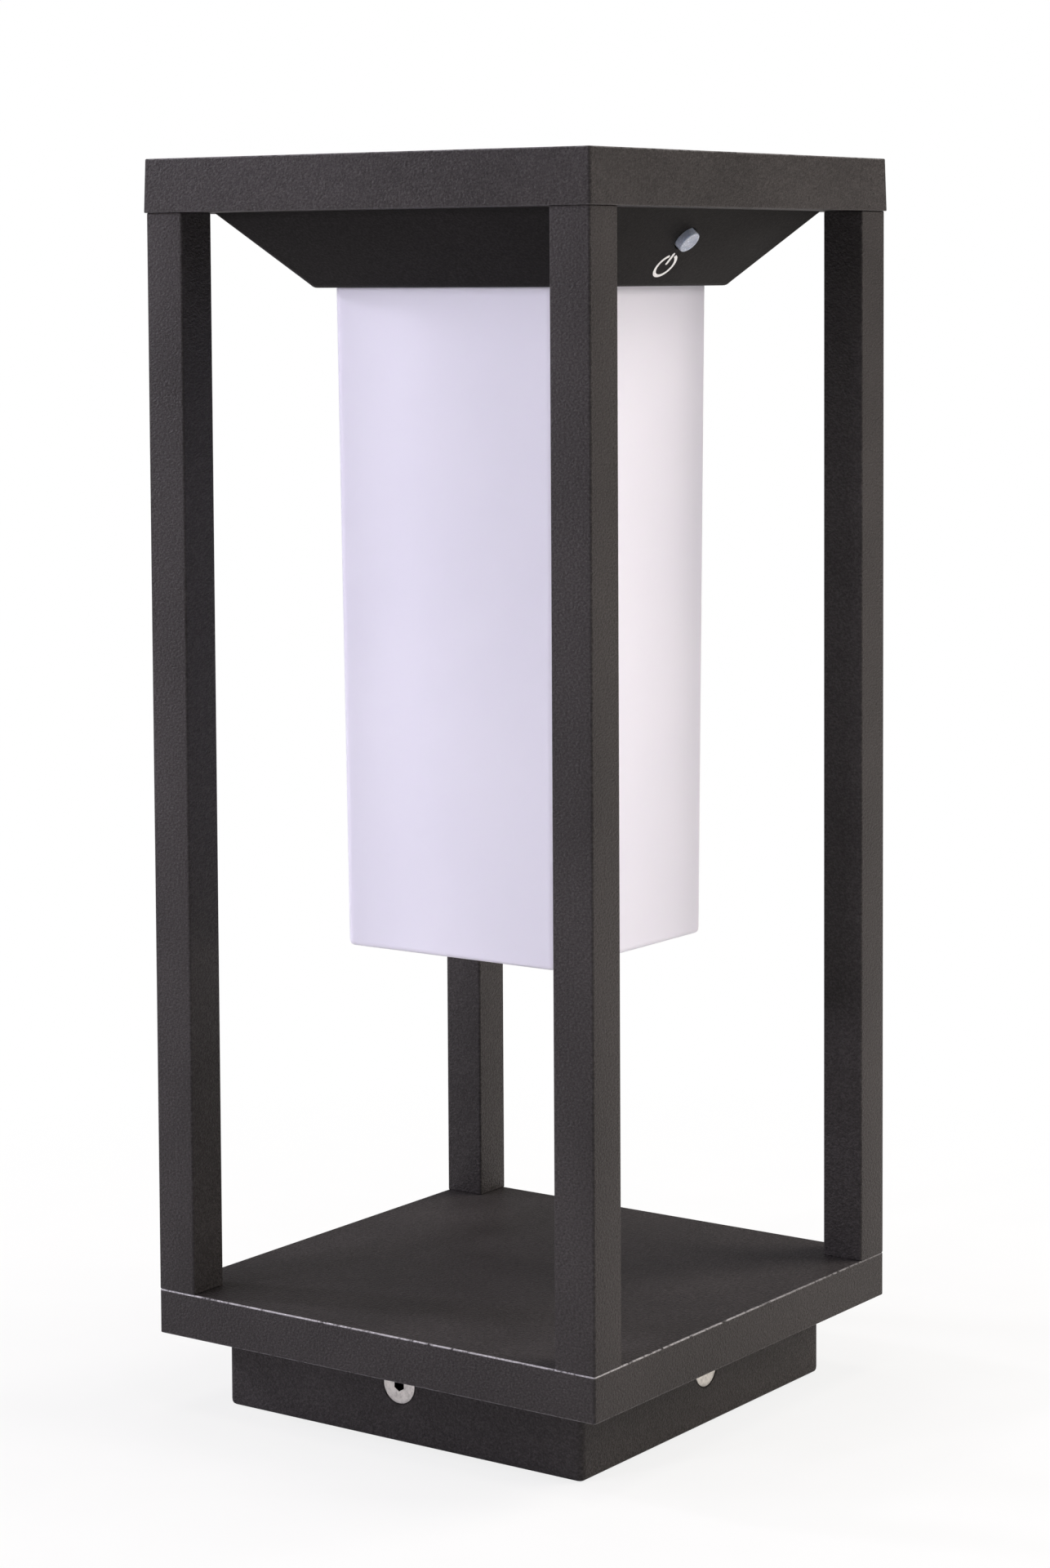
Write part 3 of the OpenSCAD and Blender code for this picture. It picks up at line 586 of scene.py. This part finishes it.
def socket_screw(work, matrix, outline, socket, depth, turn=0.0):
    """A screw with a hexagon socket. outline runs as (r, z) from the flat face's rim down to the tip."""
    uv = work.loops.layers.uv.verify()
    edge = work.verts.layers.float.get("edge") or work.verts.layers.float.new("edge")
    face_r, face_z = outline[0]
    chamfer = 0.08 * MM
    drill_r, drill_z = 0.43 * socket, face_z - depth - 0.25 * MM
    face_steps = 4
    uv_span = 10 * MM
    angles = [turn + 2 * math.pi * k / TURN_STEPS for k in range(TURN_STEPS)]
    loops = [[(drill_r * math.cos(a), drill_r * math.sin(a), drill_z) for a in angles]]
    for grow, drop in ((0.0, depth), (0.0, chamfer), (2 * chamfer, 0.0)):
        loops.append([(p.x, p.y, face_z - drop) for p in hex_points(socket + grow, TURN_STEPS, turn)])
    socket_rings = len(loops) - 1
    rim = loops[-1]
    outer = [(face_r * math.cos(a), face_r * math.sin(a), face_z) for a in angles]
    for step in range(1, face_steps + 1):
        loops.append([tuple(Vector(a).lerp(Vector(b), step / face_steps)) for a, b in zip(rim, outer)])
    for r, z in outline[1:]:
        loops.append([(r * math.cos(a), r * math.sin(a), z) for a in angles])
    rings = [[work.verts.new(matrix @ Vector(p)) for p in loop] for loop in loops]
    # The socket walls are marked so that the steel finish paints them near black: painted shade in the
    # socket.
    for ring in rings[:socket_rings]:
        for vertex in ring:
            vertex[edge] = 1.0
    for low, high, flat in zip(rings, rings[1:], loops):
        radius = math.hypot(flat[0][0], flat[0][1]) / uv_span
        for k, face in enumerate(skin(work, low, high)):
            for loop in face.loops:
                loop[uv].uv = (radius, k / TURN_STEPS)
    work.faces.new(rings[0][::-1])
    work.faces.new(rings[-1])


def level_half(node, z, tolerance=0.05 * MM):
    """Half the width of a CAD node at the height z, read from its own vertices."""
    return max(abs(v.co.x) for v in frame["nodes"][node].data.vertices if abs(v.co.z - z) < tolerance)


# ---------------------------------------------------------------- places read from the frame

plinth_low, plinth_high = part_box("mounting_plinth")
tray_low, tray_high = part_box("base_tray")
cap_box_low, cap_box_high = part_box("cap_frame")
housing_low, housing_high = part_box("battery_housing")
diffuser_low, diffuser_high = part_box("diffuser")
glass_low, glass_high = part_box("panel_glass")
cell_low, cell_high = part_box("solar_cells")

HOUSING_TOP_HALF = housing_high.x
HOUSING_LOW_HALF = level_half("battery_housing", housing_low.z)
HOUSING_TOP_Z = cap_box_low.z
CAP_TOP_HALF = level_half("cap_frame", cap_box_high.z)
DIFFUSER_LOW_HALF = level_half("diffuser", diffuser_low.z)
DIFFUSER_NECK_HALF = level_half("diffuser", housing_low.z)
SLOPE_UP = Vector((0, HOUSING_LOW_HALF - HOUSING_TOP_HALF, HOUSING_TOP_Z - housing_low.z)).normalized()
SLOPE_OUT = Vector((0, -SLOPE_UP.z, SLOPE_UP.y))


def face_matrix(x, up):
    """Local frame on the housing's -Y face: x sideways, y up the slope, z outwards."""
    origin = Vector((x, -HOUSING_LOW_HALF, housing_low.z)) + SLOPE_UP * up
    return Matrix((
        (1, SLOPE_UP.x, SLOPE_OUT.x, origin.x),
        (0, SLOPE_UP.y, SLOPE_OUT.y, origin.y),
        (0, SLOPE_UP.z, SLOPE_OUT.z, origin.z),
        (0, 0, 0, 1),
    ))


def on_face(node):
    """Where a node sits on the housing's -Y face: sideways, and up the slope."""
    low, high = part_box(node)
    centre = (low + high) / 2
    offset = centre - Vector((0, -HOUSING_LOW_HALF, housing_low.z))
    return centre.x, offset.dot(SLOPE_UP)


BUTTON_R = 3.15 * MM
BUTTON_OUT = 1.8 * MM
BUTTON_X, BUTTON_UP = on_face("power_button")
SYMBOL_X = on_face("power_symbol")[0]
SYMBOL_UP = 7.2 * MM


def side_matrices(distance, z):
    """Frames whose local Z points out of each of the four sides."""
    made = []
    for turn in range(4):
        spin = Matrix.Rotation(math.radians(90 * turn), 4, "Z")
        tilt = Matrix.Rotation(math.radians(90), 4, "X")
        made.append(spin @ Matrix.Translation((0, -distance, z)) @ tilt)
    return made


# ---------------------------------------------------------------- shells
# Profile rows are half width, corner radius, height, fillet and, where edges are rubbed, how much rubbed wear
# and painted highlight they get.
# An open profile starts and ends on a very small square in the middle, which a flat face fills.

MIDDLE = (0.5 * MM, 0.4 * MM)


def build_cap():
    """Cap: drafted skirt with eased edges, a floor with its opening, and the pocket for the panel."""
    low, high = cap_box_low.z, cap_box_high.z
    glass_gap = 0.3 * MM
    pocket = glass_high.x + glass_gap
    floor = low + 2.5 * MM
    opening, opening_r = 50 * MM, 6 * MM
    work = bmesh.new()
    # The skirt's lower and upper rims get a lighter line, partly rubbed wear and partly painted highlight.
    loft(work, filleted((
        (opening, opening_r, low, 0.2 * MM),
        (cap_box_high.x, 0.8 * MM, low, 0.30 * MM, 0.05),
        (CAP_TOP_HALF, 0.8 * MM, high, 0.40 * MM, 0.25),
        (pocket, 0.6 * MM, high, 0.3 * MM),
        (pocket, 0.6 * MM, floor, 0.4 * MM),
        (opening, opening_r, floor, 0.2 * MM),
    )))
    rib_in, rib_out, rib_r = 61 * MM, 63.5 * MM, 2 * MM
    rib_low, rib_high = floor - 0.4 * MM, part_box("panel_gasket")[0].z
    loft(work, filleted((
        (rib_in, rib_r, rib_low, 0),
        (rib_out, rib_r, rib_low, 0),
        (rib_out, rib_r, rib_high, 0.2 * MM),
        (rib_in, rib_r, rib_high, 0.2 * MM),
    )))
    finish_piece(work, "cap_shell", "powder_coat", replaces=("cap_frame",))


def build_tray():
    """Tray: a flat top with a narrow rolled edge and a skirt that is open underneath."""
    low, high = tray_low.z, tray_high.z
    half = tray_high.x
    wall, top, corner = 2.2 * MM, 3 * MM, 0.7 * MM
    work = bmesh.new()
    # The lower and upper rims get a lighter line, partly rubbed wear and partly painted highlight.
    loft(work, filleted((
        (*MIDDLE, high - top, 0),
        (half - wall, 0.5 * MM, high - top, 0.8 * MM),
        (half - wall, 0.5 * MM, low, 0.25 * MM),
        (half, corner, low, 0.35 * MM, 0.2),
        (half, corner, high, 0.45 * MM, 1.0),
        (*MIDDLE, high, 0),
    )), closed=False)
    # The -X side's rims keep their full lighter line, a painted highlight where the light catches that side;
    # the other sides keep 0.3 of it.
    highlit_side_limit, other_sides = 0.9 * MM - half, 0.3
    edge = work.verts.layers.float["edge"]
    for vertex in work.verts:
        if vertex.co.x > highlit_side_limit:
            vertex[edge] *= other_sides
    finish_piece(work, "tray_shell", "powder_coat", replaces=("base_tray",))


def build_plinth():
    """Plinth: a pressed tray with soft outer edges, four countersinks and four anchor holes."""
    low, high = plinth_low.z, plinth_high.z
    half = plinth_high.x
    wall, corner, soft = 3 * MM, 2 * MM, 1.6 * MM
    work = bmesh.new()
    loft(work, filleted((
        (*MIDDLE, low, 0),
        (half, corner, low, soft),
        (half, corner, high, 0.3 * MM),
        (half - wall, corner - 1 * MM, high, 0.3 * MM),
        (half - wall, corner - 1 * MM, low + wall, 1.0 * MM),
        (*MIDDLE, low + wall, 0),
    )), closed=False)
    piece = finish_piece(work, "plinth_shell", "powder_coat", replaces=("mounting_plinth",))
    screw_low, screw_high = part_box("plinth_side_screws")
    screw_z = (screw_low.z + screw_high.z) / 2
    head_r = (screw_high.z - screw_low.z) / 2
    screw_hole_r = 2.75 * MM
    sink = bmesh.new()
    for matrix in side_matrices(half, screw_z):
        lathe(sink, (
            (0, 1 * MM), (head_r + 1.15 * MM, 1 * MM), (head_r + 0.30 * MM, -0.10 * MM),
            (screw_hole_r, -2.6 * MM), (screw_hole_r, -5 * MM), (0, -5 * MM),
        ), matrix)
    mount = next(m for m in frame["record"]["mounts"] if m["name"] == "anchor_holes")
    pitch_x = mount["dims"]["spacing_x_mm"] * MM / 2
    pitch_y = mount["dims"]["spacing_y_mm"] * MM / 2
    hole_r = mount["dims"]["hole_r_mm"] * MM
    holes = bmesh.new()
    for x in (-pitch_x, pitch_x):
        for y in (-pitch_y, pitch_y):
            lathe(holes, (
                (0, -1 * MM), (hole_r + 1.3 * MM, -1 * MM), (hole_r, 0.3 * MM), (hole_r, 5 * MM), (0, 5 * MM),
            ), Matrix.Translation((x, y, low)))
    cut(piece, (sink, holes))
    dress(piece, "powder_coat", LANTERN, ("mounting_plinth",))


def build_post(node):
    """Square tube with drawn corners and lightly broken ends, so that the joint shows as a fine line."""
    low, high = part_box(node)
    centre = ((low.x + high.x) / 2, (low.y + high.y) / 2)
    half = (high.x - low.x) / 2
    wall = 1.2 * MM
    work = bmesh.new()
    loft(work, filleted((
        (half, 0.6 * MM, low.z, 0.36 * MM),
        (half, 0.6 * MM, high.z, 0.36 * MM),
        (half - wall, 0.3 * MM, high.z, 0.1 * MM),
        (half - wall, 0.3 * MM, low.z, 0.1 * MM),
    )), centre)
    finish_piece(work, node + "_tube", "powder_coat", replaces=(node,))


def build_housing():
    """Battery housing: a hopper with rounded edges, an opening for the diffuser and a button hole."""
    low, high = housing_low.z, HOUSING_TOP_Z
    wall, side = 2.2 * MM, 3 * MM
    mouth, mouth_r = DIFFUSER_NECK_HALF + 0.3 * MM, 3.3 * MM
    corner, inner_corner = 2.0 * MM, 1.4 * MM
    floor = low + wall
    slope = (HOUSING_TOP_HALF - HOUSING_LOW_HALF) / (high - low)
    work = bmesh.new()
    loft(work, filleted((
        (mouth, mouth_r, low, 0.25 * MM),
        (HOUSING_LOW_HALF, corner, low, 1.1 * MM),
        (HOUSING_TOP_HALF, corner, high, 0.1 * MM),
        (HOUSING_TOP_HALF - side, inner_corner, high, 0.1 * MM),
        (HOUSING_LOW_HALF + slope * wall - side, inner_corner, floor, 0.3 * MM),
        (mouth, mouth_r, floor, 0.1 * MM),
    )))
    # Its finish is the powder coat made darker: painted shade of the down-facing hopper.
    piece = finish_piece(work, "housing_shell", "black_housing", replaces=("battery_housing",))
    hole_r = BUTTON_R + 0.3 * MM
    hole = bmesh.new()
    lathe(hole, (
        (0, -6 * MM), (hole_r, -6 * MM), (hole_r, -0.25 * MM), (hole_r + 1.25 * MM, 1 * MM), (0, 1 * MM),
    ), face_matrix(BUTTON_X, BUTTON_UP))
    cut(piece, (hole,))
    dress(piece, "black_housing", LANTERN, ("battery_housing",))


def build_diffuser():
    """Opal diffuser: one tapered cup with soft corners and a rounded closed end, hung by its flange."""
    neck_z = housing_low.z
    flange_z = diffuser_high.z - 1.5 * MM
    low = diffuser_low.z
    wall = 2 * MM
    flange = diffuser_high.x
    corner = 3 * MM
    work = bmesh.new()
    loft(work, filleted((
        (*MIDDLE, low, 0),
        (DIFFUSER_LOW_HALF, corner, low, 1.5 * MM),
        (DIFFUSER_NECK_HALF, corner, neck_z, 0.1 * MM),
        (DIFFUSER_NECK_HALF, corner, flange_z, 0.2 * MM),
        (flange, corner, flange_z, 0.2 * MM),
        (flange, corner, diffuser_high.z, 0.2 * MM),
        (DIFFUSER_NECK_HALF - wall, corner - 1 * MM, diffuser_high.z, 0.2 * MM),
        (DIFFUSER_LOW_HALF - wall, corner - 1 * MM, low + wall, 1.2 * MM),
        (*MIDDLE, low + wall, 0),
    )), closed=False)
    finish_piece(work, "diffuser_cup", "opal_plastic", replaces=("diffuser",))


# ---------------------------------------------------------------- screws, button and symbol


def build_side_screws():
    """Stainless countersunk socket screws in the plinth's sides."""
    low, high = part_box("plinth_side_screws")
    head_r = (high.z - low.z) / 2
    shank = 2.45 * MM
    work = bmesh.new()
    outline = (
        (head_r - 0.28 * MM, -0.06 * MM),
        (head_r - 0.08 * MM, -0.12 * MM),
        (head_r - 0.02 * MM, -0.32 * MM),
        (shank + 0.1 * MM, -2.6 * MM),
        (shank, -2.9 * MM),
        (shank, -11.4 * MM),
        (shank - 0.6 * MM, -12 * MM),
    )
    socket, depth = 3.46 * MM, 2.3 * MM
    for matrix in side_matrices(high.x, (low.z + high.z) / 2):
        socket_screw(work, matrix, outline, socket, depth, turn=math.radians(30))
    finish_piece(work, "plinth_screws", "stainless", replaces=("plinth_side_screws",))


def build_bottom_screws():
    """Small countersunk screws that hold the closing plate, seen only from below."""
    low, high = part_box("bottom_plate_screws")
    head_r = 2.75 * MM
    shank = 1.45 * MM
    work = bmesh.new()
    outline = (
        (head_r - 0.2 * MM, -0.04 * MM),
        (head_r - 0.05 * MM, -0.1 * MM),
        (head_r - 0.02 * MM, -0.2 * MM),
        (shank + 0.05 * MM, -1.9 * MM),
        (shank, -2.1 * MM),
        (shank, -7.6 * MM),
        (shank - 0.4 * MM, -8 * MM),
    )
    socket, depth = 2.3 * MM, 1.3 * MM
    reach = high.x - head_r
    for x, y in ((reach, 0), (-reach, 0), (0, reach), (0, -reach)):
        matrix = Matrix.Translation((x, y, low.z)) @ Matrix.Rotation(math.pi, 4, "X")
        socket_screw(work, matrix, outline, socket, depth)
    finish_piece(work, "closing_plate_screws", "stainless", replaces=("bottom_plate_screws",))


def build_button():
    """Silicone button: dished face, rolled rim, its retaining flange and the plunger behind it."""
    r, top = BUTTON_R, BUTTON_OUT
    flange_r, plunger_r, chamfer = 4.4 * MM, 1.5 * MM, 0.1 * MM
    flange_high, flange_low, plunger_low = -2.5 * MM, -3.3 * MM, -4.6 * MM
    work = bmesh.new()
    lathe(work, (
        (0, top - 0.26 * MM),
        (r * 0.55, top - 0.24 * MM),
        (r * 0.70, top - 0.18 * MM),
        (r * 0.79, top - 0.04 * MM),
        (r * 0.85, top),
        (r - 0.22 * MM, top - 0.01 * MM),
        (r - 0.07 * MM, top - 0.10 * MM),
        (r, top - 0.28 * MM),
        (r, flange_high + 0.05 * MM),
        (flange_r - chamfer, flange_high),
        (flange_r, flange_high - chamfer),
        (flange_r, flange_low + chamfer),
        (flange_r - chamfer, flange_low),
        (plunger_r, flange_low - 0.05 * MM),
        (plunger_r, plunger_low + chamfer),
        (plunger_r - chamfer, plunger_low),
        (0, plunger_low),
    ), face_matrix(BUTTON_X, BUTTON_UP))
    finish_piece(work, "silicone_button", "clear_silicone", BUTTON, ("power_button",), smooth_degrees=50)


def build_symbol():
    """Printed standby symbol: an open ring and a bar, both with round ends."""
    low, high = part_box("power_symbol")
    line = 0.95 * MM
    radius = (high.x - low.x) / 2 - line / 2
    ink = 0.05 * MM
    open_degrees = 27
    matrix = face_matrix(SYMBOL_X, SYMBOL_UP)
    work = bmesh.new()
    first, last = math.radians(90 + open_degrees), math.radians(450 - open_degrees)
    steps = 56
    angles = [first + (last - first) * k / steps for k in range(steps + 1)]
    ring = [Vector((radius * math.cos(a), radius * math.sin(a))) for a in angles]
    bar = [Vector((0, radius * share)) for share in (0.22, 0.5, 0.8, 1.12)]
    stroke(work, matrix, ring, line, ink)
    stroke(work, matrix, bar, line, ink)
    finish_piece(work, "standby_symbol", "white_ink", replaces=("power_symbol",))


def stroke(work, matrix, path, width, height):
    """A flat printed line with round ends along a path in the local XY plane."""
    half = width / 2
    ends = 8
    left, right = [], []
    for index, point in enumerate(path):
        along = (path[min(index + 1, len(path) - 1)] - path[max(index - 1, 0)]).normalized()
        side = Vector((-along.y, along.x))
        left.append(point + side * half)
        right.append(point - side * half)
    tail = path[-1] - path[-2]
    nose = path[0] - path[1]
    tip = [path[-1] + turned(tail, math.pi / 2 - math.pi * k / ends) * half for k in range(1, ends)]
    back = [path[0] + turned(nose, math.pi / 2 - math.pi * k / ends) * half for k in range(1, ends)]
    outline = left + tip + right[::-1] + back
    low = [work.verts.new(matrix @ Vector((p.x, p.y, 0.0))) for p in outline]
    high = [work.verts.new(matrix @ Vector((p.x, p.y, height))) for p in outline]
    skin(work, low, high)
    # The body is a strip of quads, and each round end is one face of its own
    count = len(path)
    far_side = 2 * count + ends - 2
    for ring, flip in ((high, False), (low, True)):
        for k in range(count - 1):
            add_face(work, (ring[k], ring[k + 1], ring[far_side - 1 - k], ring[far_side - k]), flip)
        add_face(work, ring[count - 1:count + ends], flip)
        add_face(work, ring[far_side:] + ring[:1], flip)


def add_face(work, corners, flip):
    """A face through corners, which run the other way round if it is to be flipped."""
    work.faces.new(corners[::-1] if flip else corners)


def turned(direction, angle):
    """direction as a unit vector, turned by angle."""
    unit = direction.normalized()
    return Vector((unit.x * math.cos(angle) - unit.y * math.sin(angle),
                   unit.x * math.sin(angle) + unit.y * math.cos(angle)))


# ---------------------------------------------------------------- solar panel


def build_ribbons():
    """Tinned ribbons that join the cells, two over each column of cells."""
    gap, ribbon_half, end, thick = 0.6 * MM, 0.7 * MM, 1 * MM, 0.02 * MM
    half_width = (cell_high.x - cell_low.x) / 2
    work = bmesh.new()
    for column in range(2):
        start = cell_low.x + column * (half_width + gap)
        for share in (0.27, 0.73):
            x = start + share * (half_width - gap)
            box(work, (x - ribbon_half, cell_low.y + end, cell_high.z),
                (x + ribbon_half, cell_high.y - end, cell_high.z + thick))
    finish_piece(work, "cell_ribbons", "spring_steel")


def box(work, low, high):
    """Adds a box between two corners."""
    corners = [work.verts.new((x, y, z)) for z in (low[2], high[2])
               for x, y in ((low[0], low[1]), (high[0], low[1]), (high[0], high[1]), (low[0], high[1]))]
    for face in ((3, 2, 1, 0), (4, 5, 6, 7), (0, 1, 5, 4), (1, 2, 6, 5), (2, 3, 7, 6), (3, 0, 4, 7)):
        work.faces.new([corners[k] for k in face])


def build_glass():
    """Cover glass with ground, slightly rounded edges, just clear of the cells."""
    half = glass_high.x
    cell_gap = 0.05 * MM
    under = glass_low.z + cell_gap
    work = bmesh.new()
    loft(work, filleted((
        (*MIDDLE, under, 0),
        (half, 0.8 * MM, under, 0.2 * MM),
        (half, 0.8 * MM, glass_high.z, 0.4 * MM),
        (*MIDDLE, glass_high.z, 0),
    )), closed=False)
    finish_piece(work, "cover_glass", "panel_glass", replaces=("panel_glass",))


# ---------------------------------------------------------------- what is left of the CAD

# How far the edges of these CAD pieces are rounded
EASED = {
    "tray_bottom_plate": 0.25 * MM,
    "fixing_frame": 0.30 * MM,
    "panel_backing": 0.20 * MM,
    "heatsink_plate": 0.20 * MM,
    "diffuser_clamp": 0.30 * MM,
    "battery_holder": 0.25 * MM,
    "wire_connectors": 0.20 * MM,
    "controller_components": 0.15 * MM,
    "tact_switch": 0.12 * MM,
    "led_chips": 0.18 * MM,
    "clinch_nuts": 0.15 * MM,
}


def dress_cad_nodes():
    """Gives every CAD node the finish of its material slot."""
    for name, node in frame["nodes"].items():
        for slot in node.material_slots:
            slot.material = FINISHES[SLOT_OF[name]]


def build_eased(node, width):
    """A copy of a CAD piece with its sharp edges rounded, which stands in for it."""
    piece = bpy.data.objects.new(node + "_eased", frame["nodes"][node].data.copy())
    bpy.context.scene.collection.objects.link(piece)
    round_edges(piece, width)
    dress(piece, SLOT_OF[node], replaces=(node,))


# ---------------------------------------------------------------- studio


def area_light(name, place, width, height, power, colour, mirrored):
    """A softbox that looks at the middle of the lantern. mirrored says whether glossy surfaces show it."""
    data = bpy.data.lights.new(name, "AREA")
    data.shape = "RECTANGLE"
    data.size = width
    data.size_y = height
    data.energy = power
    data.color = colour
    light = bpy.data.objects.new(name, data)
    bpy.context.scene.collection.objects.link(light)
    light.visible_glossy = mirrored
    light.location = place
    light.rotation_mode = "QUATERNION"
    light.rotation_quaternion = (LIGHT_AIM - Vector(place)).to_track_quat("-Z", "Y")


def build_world():
    """White to the camera, and a dim even light to the object."""
    world = bpy.data.worlds.new("studio")
    bpy.context.scene.world = world
    world.use_nodes = True
    tree = world.node_tree
    tree.nodes.clear()
    output = tree.nodes.new("ShaderNodeOutputWorld")
    seen = tree.nodes.new("ShaderNodeBackground")
    seen.inputs["Color"].default_value = (1, 1, 1, 1)
    seen.inputs["Strength"].default_value = 1.0
    lit = tree.nodes.new("ShaderNodeBackground")
    lit.inputs["Color"].default_value = (1, 1, 1, 1)
    lit.inputs["Strength"].default_value = WORLD_LIGHT
    path = tree.nodes.new("ShaderNodeLightPath")
    mix = tree.nodes.new("ShaderNodeMixShader")
    tree.links.new(path.outputs["Is Camera Ray"], mix.inputs["Fac"])
    tree.links.new(lit.outputs["Background"], mix.inputs[1])
    tree.links.new(seen.outputs["Background"], mix.inputs[2])
    tree.links.new(mix.outputs["Shader"], output.inputs["Surface"])


def build_floor():
    """Pale floor that fades into the white background.

    It has a hole that the plinth covers, and it is clear from below, so the underside can be seen.
    """
    hole_half = plinth_high.x - 5 * MM
    work = bmesh.new()
    square = ((-1, -1), (1, -1), (1, 1), (-1, 1))
    outer, inner = [[work.verts.new((x * half, y * half, -FLOOR_GAP)) for x, y in square]
                    for half in (FLOOR_HALF, hole_half)]
    skin(work, outer, inner)
    mesh = bpy.data.meshes.new("floor")
    work.to_mesh(mesh)
    work.free()
    floor = bpy.data.objects.new("floor", mesh)
    bpy.context.scene.collection.objects.link(floor)
    s = Shader("floor_paper", Roughness=0.8)
    s.surface.inputs["Specular IOR Level"].default_value = 0.1
    s.feed("Base Color", s.colours(s.noise(40, 2), (
        (0.3, (0.66, 0.66, 0.66)),
        (0.7, (0.69, 0.69, 0.69)),
    )))
    gradient = s.node("ShaderNodeTexGradient", gradient_type="SPHERICAL")
    s.link(s.stretched((1 / FLOOR_FADE_REACH,) * 3), gradient.inputs["Vector"])
    white = s.node("ShaderNodeEmission")
    white.inputs["Strength"].default_value = 1.0
    mix = s.node("ShaderNodeMixShader")
    seen = s.node("ShaderNodeLightPath").outputs["Is Camera Ray"]
    near = s.spread(gradient.outputs["Fac"], 1.0, FLOOR_FADE, 0.0, 0.75)
    s.link(s.maths("MULTIPLY", seen, near), mix.inputs["Fac"])
    s.link(s.surface.outputs["BSDF"], mix.inputs[1])
    s.link(white.outputs["Emission"], mix.inputs[2])
    under = s.node("ShaderNodeMixShader")
    s.link(s.node("ShaderNodeNewGeometry").outputs["Backfacing"], under.inputs["Fac"])
    s.link(mix.outputs["Shader"], under.inputs[1])
    s.link(s.node("ShaderNodeBsdfTransparent").outputs["BSDF"], under.inputs[2])
    s.link(under.outputs["Shader"], s.tree.nodes["Material Output"].inputs["Surface"])
    mesh.materials.append(s.material)


def build_camera():
    """At the cap's height, tipped slightly down and turned to the front left post."""
    data = bpy.data.cameras.new("camera")
    camera = bpy.data.objects.new("camera", data)
    bpy.context.scene.collection.objects.link(camera)
    data.sensor_width = 36
    data.lens = CAMERA_LENS
    data.shift_y = CAMERA_SHIFT_Y
    data.clip_start = 0.05
    data.clip_end = 50
    azimuth = math.radians(CAMERA_AZIMUTH)
    back = Vector((math.sin(azimuth), -math.cos(azimuth), 0))
    side = Vector((math.cos(azimuth), math.sin(azimuth), 0))
    camera.location = back * CAMERA_DISTANCE + side * CAMERA_SIDE + Vector((0, 0, CAMERA_HEIGHT))
    turn = Matrix.Rotation(azimuth, 4, "Z")
    tilt = Matrix.Rotation(math.radians(90 + CAMERA_PITCH), 4, "X")
    roll = Matrix.Rotation(math.radians(CAMERA_ROLL), 4, "Z")
    camera.rotation_mode = "QUATERNION"
    camera.rotation_quaternion = (turn @ tilt @ roll).to_quaternion()
    bpy.context.scene.camera = camera


def build_all():
    build_camera()
    build_world()
    build_floor()
    dress_cad_nodes()
    build_cap()
    build_tray()
    build_plinth()
    for node in ("post_front_left", "post_front_right", "post_back_left", "post_back_right"):
        build_post(node)
    build_housing()
    build_diffuser()
    build_side_screws()
    build_bottom_screws()
    build_button()
    build_symbol()
    build_ribbons()
    build_glass()
    for node, width in EASED.items():
        build_eased(node, width)
    bpy.context.scene.view_settings.view_transform = "Standard"
    for light in LIGHTS:
        area_light(*light)


build_all()
